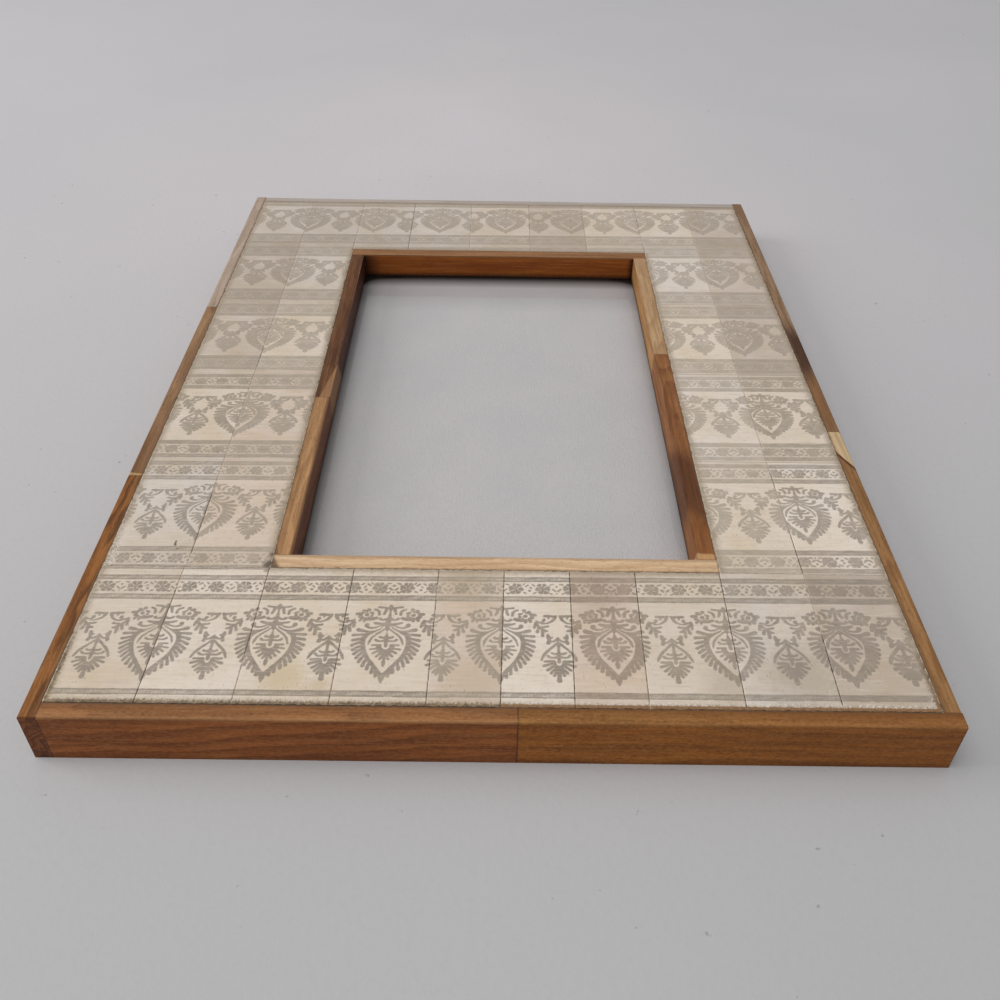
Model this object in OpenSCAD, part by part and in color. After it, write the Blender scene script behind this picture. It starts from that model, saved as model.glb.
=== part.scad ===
/* [Frame] */
// Width across the outside of the edging
frame_w = 176; // [166:1:190]
// Length from the near edge to the far edge
frame_l = 232; // [222:1:250]
// Thickness of the wooden core
core_t = 10; // [9.5:0.5:14]

/* [Window] */
// Clear width of the window
sight_w = 88.8; // [84:0.2:94]
// Clear length of the window
sight_l = 143.6; // [138:0.2:148]
// Width of the lining strips round the window
lining_w = 4; // [3:0.5:5]
// Height of the lining strips, from the glass to the top face
lining_h = 7.6; // [7:0.1:7.8]
// Distance from the near edge of the frame to the splice in the left lining
lining_left_splice = 105; // [95:1:115]
// Distance from the near edge of the frame to the splice in the right lining
lining_right_splice = 128.6; // [120:0.2:138]

/* [Edging] */
// Width of the edging strips seen from above
edging_w = 3.4; // [2.5:0.1:4.5]
// Radius of the eased top arris of the edging
edging_arris_r = 0.45; // [0.2:0.05:1]
// Distance from the left side to the splice in the near edging
edging_near_splice = 92.6; // [80:0.2:105]
// Distance from the near edge to the first splice in the left edging
edging_left_splice_1 = 71; // [60:1:80]
// Distance from the near edge to the second splice in the left edging
edging_left_splice_2 = 152; // [140:1:165]
// Distance from the near edge to the splice in the right edging
edging_right_splice = 92.4; // [80:0.2:105]

/* [Bone tiles] */
// Thickness of the bone tiles
tile_t = 2.5; // [2:0.1:3]
// Width of the resin line between two tiles
resin_gap = 0.16; // [0.1:0.02:0.4]
// Rows of side tiles between the near row and the far corners
side_rows = 4; // [3:1:6]
// Length of the far corner tiles
far_corner_l = 32; // [28:0.5:36]
// Width of the first tile of the near row, halfway along it
near_first_w = 17.4; // [14:0.1:20]
// Width of the wide tiles of the near row
near_wide_w = 18.25; // [14:0.05:20]
// Width of the three narrow tiles among them
near_narrow_w = 14.05; // [12:0.05:16]
// How far to the left the joints of the near row lean from their far ends to their near ends
near_joint_lean = 0.7; // [0:0.1:1.5]
// Width of the first middle tile of the far row
far_first_w = 18.2; // [12:0.1:20]
// Width of the two wide tiles after it
far_wide_w = 20.4; // [16:0.1:22]

/* [Glass and back] */
// Length of the photograph that the rabbet takes
photo_l = 152.4; // [150:0.1:154]
// Width of the photograph that the rabbet takes
photo_w = 101.6; // [99:0.1:104]
// Room for the glass, card and back panel round the photograph, on each side
sheet_margin = 0.4; // [0.2:0.1:0.8]
// Gap between those sheets and the rabbet, on each side
sheet_gap = 0.3; // [0.2:0.05:0.5]
// Thickness of the glass
glass_t = 1.4; // [1.2:0.1:1.5]
// Thickness of the felted backing card
card_t = 0.5; // [0.3:0.1:0.6]
// Thickness of the back panel
panel_t = 1.2; // [1:0.1:1.3]
// Radius of the finger notch in the back panel
finger_notch_r = 8; // [6:0.5:12]

/* [Turn buttons] */
// Length of a turn button
button_l = 16; // [13:0.5:18]
// Width of a turn button
button_w = 7; // [5:0.5:8]
// Thickness of a turn button
button_t = 0.8; // [0.5:0.1:0.9]
// Distance of the pivots from the middle of the frame, along its length
button_y = 46; // [35:1:55]
// Distance from the rabbet's side to the pivots
button_inset = 4.6; // [4:0.2:6]
// Radius of the screws' shanks
screw_r = 1.05; // [0.8:0.05:1.3]
// Length of the screws' shanks in the core
screw_bite = 6; // [4:0.5:6]

/* [Easel leg] */
// Distance of the hinge from the middle of the frame, towards the top of the picture
hinge_y = 40; // [30:1:48]
// Distance from the near edge of the frame to the foot of the closed leg
leg_foot_inset = 9; // [6:0.5:14]
// Width of the leg at the hinge
leg_top_w = 30; // [27:1:36]
// Width of the leg at its foot
leg_foot_w = 50; // [40:1:58]
// Thickness of the leg
leg_t = 1.1; // [0.9:0.05:1.1]
// Length cut off the corners of the foot
leg_chamfer = 5; // [2:0.5:8]
// Gap round the leg in its channel
leg_channel_gap = 1; // [0.6:0.1:2]
// Width of the hinge
hinge_w = 24; // [20:1:26]
// Length of each hinge leaf from the pin
leaf_l = 11; // [9:0.5:14]
// Thickness of the hinge leaves
leaf_t = 0.3; // [0.25:0.05:0.35]
// Radius of the hinge pin
hinge_pin_r = 0.35; // [0.25:0.05:0.4]
// Radius of the rivets' shanks
rivet_r = 0.8; // [0.6:0.05:1]

/* [Hidden] */

$fn = 48;
// How far a cut runs past the face it opens
past = 1;
// Gap between a pin or shank and its hole, beside a plate that turns, and round its sweep
running_gap = 0.05;
plate_gap = 0.1;
sweep_gap = 0.4;

frame_t = core_t + tile_t;
rabbet_h = frame_t - lining_h;
half_w = frame_w / 2;
half_l = frame_l / 2;
// Half the size of the field inside the edging, and of the hole that the lining fills
field_x = half_w - edging_w;
field_y = half_l - edging_w;
hole_x = sight_w / 2 + lining_w;
hole_y = sight_l / 2 + lining_w;
// Half the size of the glass, card and panel, and of the rabbet that holds them
sheet_x = photo_w / 2 + sheet_margin;
sheet_y = photo_l / 2 + sheet_margin;
rabbet_x = sheet_x + sheet_gap;
rabbet_y = sheet_y + sheet_gap;

// Levels of the layers, from the lining down to the back
glass_z = rabbet_h - glass_t;
card_z = glass_z - card_t;
panel_z = card_z - panel_t;

// Tile joints across the frame, from left to right, and up the sides
column_w = (field_x - hole_x) / 2;
near_inner_widths = [
    for (i = [1:3]) near_wide_w, for (i = [1:3]) near_narrow_w, for (i = [1:2]) near_wide_w
];
near_last_w = 2 * field_x - near_first_w - sum_to(near_inner_widths, len(near_inner_widths));
near_widths = concat([near_first_w], near_inner_widths, [near_last_w]);
far_last_w = (2 * hole_x - far_first_w - 2 * far_wide_w) / 2;
far_widths = [
    column_w, column_w, far_first_w, far_wide_w, far_wide_w, far_last_w, far_last_w,
    column_w, column_w
];
side_start_y = -hole_y;
side_end_y = field_y - far_corner_l;
side_pitch = (side_end_y - side_start_y) / side_rows;

// Easel hinge: the knuckles touch the panel's back, and the leaves lie against them
knuckle_r = (leaf_t + leg_t + plate_gap) / 2;
hinge_z = panel_z - knuckle_r;
knuckle_l = hinge_w / 3;
leg_z = hinge_z - knuckle_r + leaf_t;
leg_top_y = hinge_y - knuckle_r - sweep_gap;
leg_foot_y = -half_l + leg_foot_inset;
leaf_notch_gap = 2 * plate_gap;
rivet_x = hinge_w / 3;
rivet_from_pin = leaf_l * 0.62;
rivet_head_t = 0.2;
rivet_head_r = 1.7 * rivet_r;

button_z = panel_z - plate_gap - button_t;
button_x = rabbet_x + button_inset;
button_reach = button_l - button_w / 2;
// Screws: a head that tapers out towards the button, with a cross slot
screw_head_t = 0.5;
screw_head_r1 = 1.6 * screw_r;
screw_head_r2 = 2.1 * screw_r;
slot_half_w = 0.25;
slot_half_l = 1.3 * screw_r;
slot_depth = 0.25;
pilot_spare = 0.5;

bone = [0.84, 0.80, 0.71];
honey_wood = [0.52, 0.33, 0.17];
red_wood = [0.46, 0.27, 0.15];
pale_wood = [0.76, 0.61, 0.42];
brass_metal = [0.72, 0.58, 0.32];

// The running sum of the first n values of a list
function sum_to(values, n) = n == 0 ? 0 : values[n - 1] + sum_to(values, n - 1);

// A block between two opposite corners
module block(low, high) {
    translate(low) cube(high - low);
}

// The rabbet from the back that holds the glass, card and panel
module rabbet() {
    block([-rabbet_x, -rabbet_y, -past], [rabbet_x, rabbet_y, rabbet_h]);
}

// Outline of the leg, tapering up to the hinge, with the foot's corners cut off
module leg_outline(grow = 0) {
    foot = leg_foot_w / 2 + grow;
    top = leg_top_w / 2 + grow;
    low = leg_foot_y - grow;
    polygon([
        [-foot + leg_chamfer, low], [foot - leg_chamfer, low], [foot, low + leg_chamfer],
        [top, leg_top_y], [-top, leg_top_y], [-foot, low + leg_chamfer]
    ]);
}

// Round pockets for the turn buttons, open to the rabbet, with the screws' pilot holes
module button_pockets(side) {
    for (end = [-1, 1]) translate([side * button_x, end * button_y, 0]) {
        translate([0, 0, -past]) cylinder(h = panel_z + past, r = button_reach + sweep_gap);
        cylinder(h = panel_z + screw_bite + pilot_spare, r = screw_r + running_gap);
    }
}

module core_rail_near() {
    color("peru") difference() {
        block([-field_x, -field_y, 0], [field_x, -hole_y, core_t]);
        rabbet();
        translate([0, 0, -past]) linear_extrude(panel_z + past) leg_outline(leg_channel_gap);
    }
}

module core_rail_far() {
    color("peru") difference() {
        block([-field_x, hole_y, 0], [field_x, field_y, core_t]);
        rabbet();
    }
}

// side is -1 on the left and 1 on the right
module core_stile(side) {
    near = side < 0 ? -field_x : hole_x;
    color("peru") difference() {
        block([near, -hole_y, 0], [near + field_x - hole_x, hole_y, core_t]);
        rabbet();
        button_pockets(side);
    }
}

// Section of the edging: x runs out from the field, y runs up
module edging_section() {
    centre = [edging_w - edging_arris_r, frame_t - edging_arris_r];
    difference() {
        square([edging_w, frame_t]);
        translate(centre) difference() {
            square(edging_arris_r + past);
            circle(edging_arris_r);
        }
    }
}

// A length of edging along the near or far side, between two distances from the left side
module edging_across(from, to, near_side) {
    turn = near_side ? 0 : 180;
    start = near_side ? from : frame_w - to;
    rotate([0, 0, turn]) translate([start - half_w, -field_y, 0])
        rotate([90, 0, 90]) linear_extrude(to - from) mirror([1, 0]) edging_section();
}

// A length of edging along a side, between two distances from the near edge
module edging_along(from, to, side) {
    translate([side * field_x, from - half_l, 0]) {
        if (side > 0)
            mirror([0, 1, 0]) rotate([90, 0, 0]) linear_extrude(to - from) edging_section();
        else
            translate([0, to - from, 0]) rotate([90, 0, 0]) linear_extrude(to - from)
                mirror([1, 0]) edging_section();
    }
}

module edging_near_left() {
    color(red_wood) edging_across(edging_w, edging_near_splice, true);
}

module edging_near_right() {
    color(honey_wood) edging_across(edging_near_splice, frame_w, true);
}

module edging_far() {
    color(honey_wood) edging_across(edging_w, frame_w - edging_w, false);
}

module edging_left_near() {
    color(red_wood) edging_along(0, edging_left_splice_1, -1);
}

module edging_left_middle() {
    color(honey_wood) edging_along(edging_left_splice_1, edging_left_splice_2, -1);
}

module edging_left_far() {
    color(red_wood) edging_along(edging_left_splice_2, frame_l, -1);
}

module edging_right_near() {
    color(honey_wood) edging_along(edging_w, edging_right_splice, 1);
}

module edging_right_far() {
    color(red_wood) edging_along(edging_right_splice, frame_l, 1);
}

// The near and far strips run over the ends of the side strips
module lining_across(side) {
    y = side < 0 ? -hole_y : hole_y - lining_w;
    block([-hole_x, y, rabbet_h], [hole_x, y + lining_w, frame_t]);
}

// A length of side lining between two places along the frame
module lining_along(from_y, to_y, side) {
    x = side < 0 ? -hole_x : hole_x - lining_w;
    block([x, from_y, rabbet_h], [x + lining_w, to_y, frame_t]);
}

module lining_near() {
    color(pale_wood) lining_across(-1);
}

module lining_far() {
    color(honey_wood) lining_across(1);
}

module lining_left_near() {
    color(honey_wood) lining_along(-hole_y + lining_w, lining_left_splice - half_l, -1);
}

module lining_left_far() {
    color(red_wood) lining_along(lining_left_splice - half_l, hole_y - lining_w, -1);
}

module lining_right_near() {
    color(red_wood) lining_along(-hole_y + lining_w, lining_right_splice - half_l, 1);
}

module lining_right_far() {
    color(pale_wood) lining_along(lining_right_splice - half_l, hole_y - lining_w, 1);
}

// A tile that fills a cell of the field, short of it by half a resin line all round
module tile(low, high) {
    half_gap = [resin_gap / 2, resin_gap / 2];
    a = low + half_gap;
    b = high - half_gap;
    color(bone) block([a.x, a.y, core_t], [b.x, b.y, frame_t]);
}

// Tile number n of the near row, counted from the left, between two leaning joints
module near_tile(n) {
    half_gap = resin_gap / 2;
    left = -field_x + sum_to(near_widths, n - 1) + half_gap;
    right = left + near_widths[n - 1] - resin_gap;
    left_lean = n == 1 ? 0 : near_joint_lean / 2;
    right_lean = n == len(near_widths) ? 0 : near_joint_lean / 2;
    near = -field_y + half_gap;
    far = -hole_y - half_gap;
    color(bone) translate([0, 0, core_t]) linear_extrude(tile_t) polygon([
        [left - left_lean, near], [right - right_lean, near],
        [right + right_lean, far], [left + left_lean, far]
    ]);
}

// Tile number n of the far row. The two at each end turn the corner and are shorter
module far_tile(n) {
    x = -field_x + sum_to(far_widths, n - 1);
    corner = n <= 2 || n >= len(far_widths) - 1;
    tile([x, corner ? side_end_y : hole_y], [x + far_widths[n - 1], field_y]);
}

// One column of side tiles, set by its left edge
module side_tiles(x) {
    for (row = [0:side_rows - 1]) {
        y = side_start_y + row * side_pitch;
        tile([x, y], [x + column_w, y + side_pitch]);
    }
}

module glass_pane() {
    color([0.8, 0.88, 0.86, 0.35])
        block([-sheet_x, -sheet_y, glass_z], [sheet_x, sheet_y, rabbet_h]);
}

module backing_card() {
    color([0.68, 0.67, 0.67]) block([-sheet_x, -sheet_y, card_z], [sheet_x, sheet_y, glass_z]);
}

// Places of the rivets of one leaf: dir is 1 on the panel and -1 on the leg
module at_rivets(dir) {
    for (side = [-1, 1]) translate([side * rivet_x, hinge_y + dir * rivet_from_pin, 0]) children();
}

module back_panel() {
    color([0.16, 0.15, 0.15]) difference() {
        block([-sheet_x, -sheet_y, panel_z], [sheet_x, sheet_y, card_z]);
        translate([0, sheet_y, panel_z - past]) cylinder(h = panel_t + 2 * past, r = finger_notch_r);
        at_rivets(1) translate([0, 0, panel_z - past])
            cylinder(h = panel_t + 2 * past, r = rivet_r + running_gap);
    }
}

module easel_leg() {
    color([0.18, 0.17, 0.16]) difference() {
        translate([0, 0, leg_z]) linear_extrude(leg_t) leg_outline();
        at_rivets(-1) translate([0, 0, leg_z - past])
            cylinder(h = leg_t + 2 * past, r = rivet_r + running_gap);
    }
}

// A knuckle round the pin, centred on x
module knuckle(x) {
    length = knuckle_l - 2 * plate_gap;
    translate([x - length / 2, hinge_y, hinge_z]) rotate([0, 90, 0])
        cylinder(h = length, r = knuckle_r);
}

// The pin's running bore through a leaf's knuckles
module pin_bore() {
    translate([-hinge_w / 2 - past, hinge_y, hinge_z]) rotate([0, 90, 0])
        cylinder(h = hinge_w + 2 * past, r = hinge_pin_r + running_gap);
}

// Leaf on the panel: two outer knuckles and a plate cut back round the middle one
module hinge_panel_leaf() {
    notch_x = knuckle_l / 2 + plate_gap;
    color(brass_metal) difference() {
        union() {
            for (side = [-1, 1]) knuckle(side * knuckle_l);
            block([-hinge_w / 2 + plate_gap, hinge_y, panel_z - leaf_t],
                  [hinge_w / 2 - plate_gap, hinge_y + leaf_l, panel_z]);
        }
        pin_bore();
        block([-notch_x, hinge_y - knuckle_r - past, -past],
              [notch_x, hinge_y + knuckle_r + leaf_notch_gap, panel_z + past]);
        at_rivets(1) translate([0, 0, panel_z - leaf_t - past])
            cylinder(h = leaf_t + 2 * past, r = rivet_r + running_gap);
    }
}

// Leaf on the leg: the middle knuckle and a plate cut back round the outer ones
module hinge_leg_leaf() {
    low = leg_z - leaf_t;
    notch_x = knuckle_l / 2 - plate_gap;
    color(brass_metal) difference() {
        union() {
            knuckle(0);
            block([-hinge_w / 2 + plate_gap, hinge_y - leaf_l, low],
                  [hinge_w / 2 - plate_gap, hinge_y, leg_z]);
        }
        pin_bore();
        for (side = [-1, 1]) mirror([side < 0 ? 1 : 0, 0, 0])
            block([notch_x, hinge_y - knuckle_r - leaf_notch_gap, low - past],
                  [hinge_w / 2 + past, hinge_y + knuckle_r + past, panel_z + past]);
        at_rivets(-1) translate([0, 0, low - past])
            cylinder(h = leaf_t + 2 * past, r = rivet_r + running_gap);
    }
}

module hinge_pin() {
    color("silver") translate([-hinge_w / 2, hinge_y, hinge_z]) rotate([0, 90, 0])
        cylinder(h = hinge_w, r = hinge_pin_r);
}

// A rivet from its head below a leaf up to the far face of the board it holds
module rivet(head_z, board_z) {
    translate([0, 0, head_z - rivet_head_t]) {
        cylinder(h = rivet_head_t, r = rivet_head_r);
        cylinder(h = board_z - head_z + rivet_head_t, r = rivet_r);
    }
}

module panel_rivets() {
    color(brass_metal) at_rivets(1) rivet(panel_z - leaf_t, card_z);
}

module leg_rivets() {
    color(brass_metal) at_rivets(-1) rivet(leg_z - leaf_t, leg_z + leg_t);
}

// A turn button, parked along the frame: side and end are -1 or 1
module turn_button(side, end) {
    straight = button_l - button_w;
    color(brass_metal) translate([side * button_x, end * button_y, button_z]) difference() {
        linear_extrude(button_t) rotate(-90 * end) {
            circle(button_w / 2);
            translate([0, -button_w / 2]) square([straight, button_w]);
            translate([straight, 0]) circle(button_w / 2);
        }
        translate([0, 0, -past]) cylinder(h = button_t + 2 * past, r = screw_r + running_gap);
    }
}

// Screws with low round heads and a cross slot, which the buttons turn on
module button_screws() {
    color("silver") for (side = [-1, 1]) for (end = [-1, 1])
        translate([side * button_x, end * button_y, button_z - screw_head_t - running_gap]) {
            difference() {
                cylinder(h = screw_head_t, r1 = screw_head_r1, r2 = screw_head_r2);
                for (turn = [0, 90]) rotate(turn)
                    block([-slot_half_l, -slot_half_w, -past], [slot_half_l, slot_half_w, slot_depth]);
            }
            translate([0, 0, screw_head_t])
                cylinder(h = panel_z + screw_bite - button_z + running_gap, r = screw_r);
        }
}

core_rail_near();
core_rail_far();
core_stile(-1);  // core_stile_left
core_stile(1);  // core_stile_right
edging_near_left();
edging_near_right();
edging_left_near();
edging_left_middle();
edging_left_far();
edging_right_near();
edging_right_far();
edging_far();
lining_near();
lining_far();
lining_left_near();
lining_left_far();
lining_right_near();
lining_right_far();
near_tile(1);  // near_tile_1
near_tile(2);  // near_tile_2
near_tile(3);  // near_tile_3
near_tile(4);  // near_tile_4
near_tile(5);  // near_tile_5
near_tile(6);  // near_tile_6
near_tile(7);  // near_tile_7
near_tile(8);  // near_tile_8
near_tile(9);  // near_tile_9
near_tile(10);  // near_tile_10
far_tile(1);  // far_tile_1
far_tile(2);  // far_tile_2
far_tile(3);  // far_tile_3
far_tile(4);  // far_tile_4
far_tile(5);  // far_tile_5
far_tile(6);  // far_tile_6
far_tile(7);  // far_tile_7
far_tile(8);  // far_tile_8
far_tile(9);  // far_tile_9
side_tiles(-field_x);  // left_outer_tiles
side_tiles(-field_x + column_w);  // left_inner_tiles
side_tiles(hole_x);  // right_inner_tiles
side_tiles(hole_x + column_w);  // right_outer_tiles
glass_pane();
backing_card();
back_panel();
hinge_panel_leaf();
panel_rivets();
hinge_pin();
easel_leg();
hinge_leg_leaf();
leg_rivets();
turn_button(-1, -1);  // turn_button_left_near
turn_button(-1, 1);  // turn_button_left_far
turn_button(1, -1);  // turn_button_right_near
turn_button(1, 1);  // turn_button_right_far
button_screws();
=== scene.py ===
"""Dresses a photo frame faced with block-printed bone tiles and edged with hardwood strips.

Lengths are in millimetres until they reach a mesh or a lamp, in the frame's own axes: X across
the picture, Y up it and Z out of its face, from the middle of the frame's back."""
import math

import bpy
import numpy as np
from mathutils import Matrix, Vector

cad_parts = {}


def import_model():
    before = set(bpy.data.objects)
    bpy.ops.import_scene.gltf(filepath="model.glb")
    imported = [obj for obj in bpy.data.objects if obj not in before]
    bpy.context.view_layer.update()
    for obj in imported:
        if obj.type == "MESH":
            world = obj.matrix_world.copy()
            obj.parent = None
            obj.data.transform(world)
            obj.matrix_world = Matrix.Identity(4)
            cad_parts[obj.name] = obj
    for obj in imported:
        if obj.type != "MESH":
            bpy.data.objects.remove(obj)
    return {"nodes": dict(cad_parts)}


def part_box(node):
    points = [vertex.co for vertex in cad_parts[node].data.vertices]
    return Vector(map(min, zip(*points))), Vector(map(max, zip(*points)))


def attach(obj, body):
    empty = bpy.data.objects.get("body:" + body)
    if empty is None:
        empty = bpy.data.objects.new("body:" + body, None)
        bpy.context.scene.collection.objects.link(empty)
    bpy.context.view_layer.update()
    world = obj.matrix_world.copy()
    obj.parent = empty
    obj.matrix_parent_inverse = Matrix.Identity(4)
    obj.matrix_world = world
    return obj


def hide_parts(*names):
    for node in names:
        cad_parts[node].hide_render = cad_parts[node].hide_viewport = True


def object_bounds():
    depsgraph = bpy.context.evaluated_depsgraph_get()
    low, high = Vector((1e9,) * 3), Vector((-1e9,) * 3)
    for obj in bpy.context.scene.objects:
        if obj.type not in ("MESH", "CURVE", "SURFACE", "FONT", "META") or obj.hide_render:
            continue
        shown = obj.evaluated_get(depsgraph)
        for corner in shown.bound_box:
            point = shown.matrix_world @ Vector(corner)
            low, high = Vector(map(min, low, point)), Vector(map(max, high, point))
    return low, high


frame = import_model()
cad_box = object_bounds()
NODES = frame["nodes"]
MM = 0.001

# The frame's lowest and highest corners, and the height of its face over the floor
LOW, HIGH = (np.array(corner) / MM for corner in cad_box)
FACE = HIGH[2]


def box_of(node):
    """The lowest and highest corners of a piece, in millimetres."""
    low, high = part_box(node)
    return np.array(low) / MM, np.array(high) / MM


# Finishes: small helpers for mixing a material out of nodes

def paint(red, green, blue):
    """A colour as it looks on paper, 0 to 255 each, turned into the renderer's linear light."""
    c = np.array([red, green, blue]) / 255
    linear = np.where(c <= 0.04045, c / 12.92, ((c + 0.055) / 1.055) ** 2.4)
    return (*(float(v) for v in linear), 1.0)


class Finish:
    """A material being mixed: each call adds one node and hands back the socket to use next."""

    def __init__(self, name):
        self.material = bpy.data.materials.new(name)
        self.material.use_nodes = True
        self.tree = self.material.node_tree
        self.tree.nodes.clear()
        self.end = self.tree.nodes.new("ShaderNodeOutputMaterial")

    def put(self, kind, sockets, out=0, **settings):
        """A node of this kind. sockets are its inputs by name or number, settings its other
        choices, and out is the output to use."""
        node = self.tree.nodes.new("ShaderNode" + kind)
        for name, value in settings.items():
            setattr(node, name, value)
        for key, value in sockets.items():
            if isinstance(value, bpy.types.NodeSocket):
                self.tree.links.new(value, node.inputs[key])
            else:
                node.inputs[key].default_value = value
        return node.outputs[out]

    def place(self, shift=(0, 0, 0), turn=False):
        """Object coordinates in millimetres, moved by shift; turn swaps X and Y, so that a
        pattern made for a strip lying along X fits one lying along Y."""
        p = self.put("TexCoord", {}, out="Object")
        p = self.move(self.stretch(p, 1 / MM, 1 / MM, 1 / MM), shift)
        if turn:
            x, y, z = self.parts(p)
            p = self.put("CombineXYZ", {0: y, 1: x, 2: z})
        return p

    def parts(self, vector):
        """A place's X, Y and Z."""
        node = self.tree.nodes.new("ShaderNodeSeparateXYZ")
        self.tree.links.new(vector, node.inputs[0])
        return node.outputs

    def move(self, vector, by):
        return self.put("VectorMath", {0: vector, 1: tuple(by)}, operation="ADD")

    def stretch(self, vector, x, y, z):
        return self.put("VectorMath", {0: vector, 1: (x, y, z)}, operation="MULTIPLY")

    def noise(self, vector, scale=1.0, detail=3.0, rough=0.5, twist=0.0):
        return self.put("TexNoise", {"Vector": vector, "Scale": scale, "Detail": detail,
                                     "Roughness": rough, "Distortion": twist})

    def math(self, how, a, b=0.0):
        return self.put("Math", {0: a, 1: b}, operation=how)

    def add(self, a, b):
        return self.math("ADD", a, b)

    def less(self, a, b):
        return self.math("SUBTRACT", a, b)

    def times(self, a, b):
        return self.math("MULTIPLY", a, b)

    def rise(self, value, start, stop, low=0.0, high=1.0):
        """Goes smoothly from low at start to high at stop."""
        return self.put("MapRange", {0: value, 1: start, 2: stop, 3: low, 4: high},
                        interpolation_type="SMOOTHSTEP")

    def slope(self, value, start, stop, low=0.0, high=1.0):
        """Goes straight from low at start to high at stop, and stays there."""
        return self.put("MapRange", {0: value, 1: start, 2: stop, 3: low, 4: high})

    def tint(self, a, b, share):
        """Colour a with this share of colour b over it."""
        return self.put("Mix", {0: share, 6: a, 7: b}, out=2, data_type="RGBA")

    def attribute(self, name):
        """The number that a piece's points carry under this name."""
        return self.put("Attribute", {}, out="Fac", attribute_name=name)

    def close(self, colour, roughness, height=None, relief=0.05, **fixed):
        """Ends in a Principled shader. relief is how many millimetres a height of 1 stands
        for; fixed values go straight onto the shader's sockets."""
        sockets = {"Base Color": colour, "Roughness": roughness}
        sockets.update({name.replace("_", " "): value for name, value in fixed.items()})
        if height is not None:
            bump = {"Height": height, "Strength": 1.0, "Distance": relief * MM}
            sockets["Normal"] = self.put("Bump", bump)
        shader = self.put("BsdfPrincipled", sockets)
        self.tree.links.new(shader, self.end.inputs["Surface"])
        return self.material


def dress(node, material):
    """Gives a piece from the frame its finish in place of the plain one it came with."""
    slots = NODES[node].material_slots
    if not slots:
        NODES[node].data.materials.append(material)
    for slot in slots:
        slot.material = material


# The block print: one repeat of the border is worked out once as a sheet of distances

REPEAT = 22.99      # width of one repeat of the printing block
CELL = 39.5         # height of the print from one row's near joint to the next
FOOT = 0.25         # height of the drawing's zero above the cell's near joint
FIELD = (6.85, 30.7)  # heights between which the leaves stand
CROWN_LEAN = 0.3    # the crowns stand this far to the right of the leaves under them
CENTRE = 1.43       # the middle leaf's axis from the middle of the frame
REACH = 1.0         # distances past this are of no use to the print
LOWER_BAND = 1.55   # depth of the ruled band under the leaves
PRINT_EDGE = -0.5   # where the lower outer band ends

# How each row was printed: how far its leaves' axes are shifted, how high the leaves' lower
# edge stands above the row's near joint, and how tall they are beside the block's own. Each is
# given in the middle of the left and of the right side; between them it changes evenly.
PLACING_X = 67.0
PLACING = {
    "near": ((-0.03, -0.40), (6.55, 6.90), (0.986, 1.008)),
    "side_1": ((0.82, -0.05), (6.25, 7.40), (0.979, 0.989)),
    "side_2": ((1.37, 0.0), (6.10, 7.70), (0.966, 0.976)),
    "side_3": ((1.70, -0.05), (6.45, 8.00), (0.945, 0.960)),
    "side_4": ((1.85, 0.0), (6.25, 7.95), (0.940, 0.970)),
    "far": ((1.75, -0.10), (5.90, 7.70), (0.945, 0.945)),
}


def smooth_line(points, steps=5):
    """A curve through the points: in each span the cubic whose end slopes are half the chord
    between the neighbouring points. Further columns, such as a half width, ride along."""
    p = np.array(points, float)
    p = np.vstack([2 * p[0] - p[1], p, 2 * p[-1] - p[-2]])
    a, b, c, d = p[:-3, None], p[1:-2, None], p[2:-1, None], p[3:, None]
    t = np.linspace(0, 1, steps, endpoint=False)[None, :, None]
    bend = (2 * a - 5 * b + 4 * c - d) + t * (3 * (b - c) + d - a)
    spans = b + 0.5 * t * ((c - a) + t * bend)
    return np.vstack([spans.reshape(-1, p.shape[1]), p[-2]])


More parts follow.
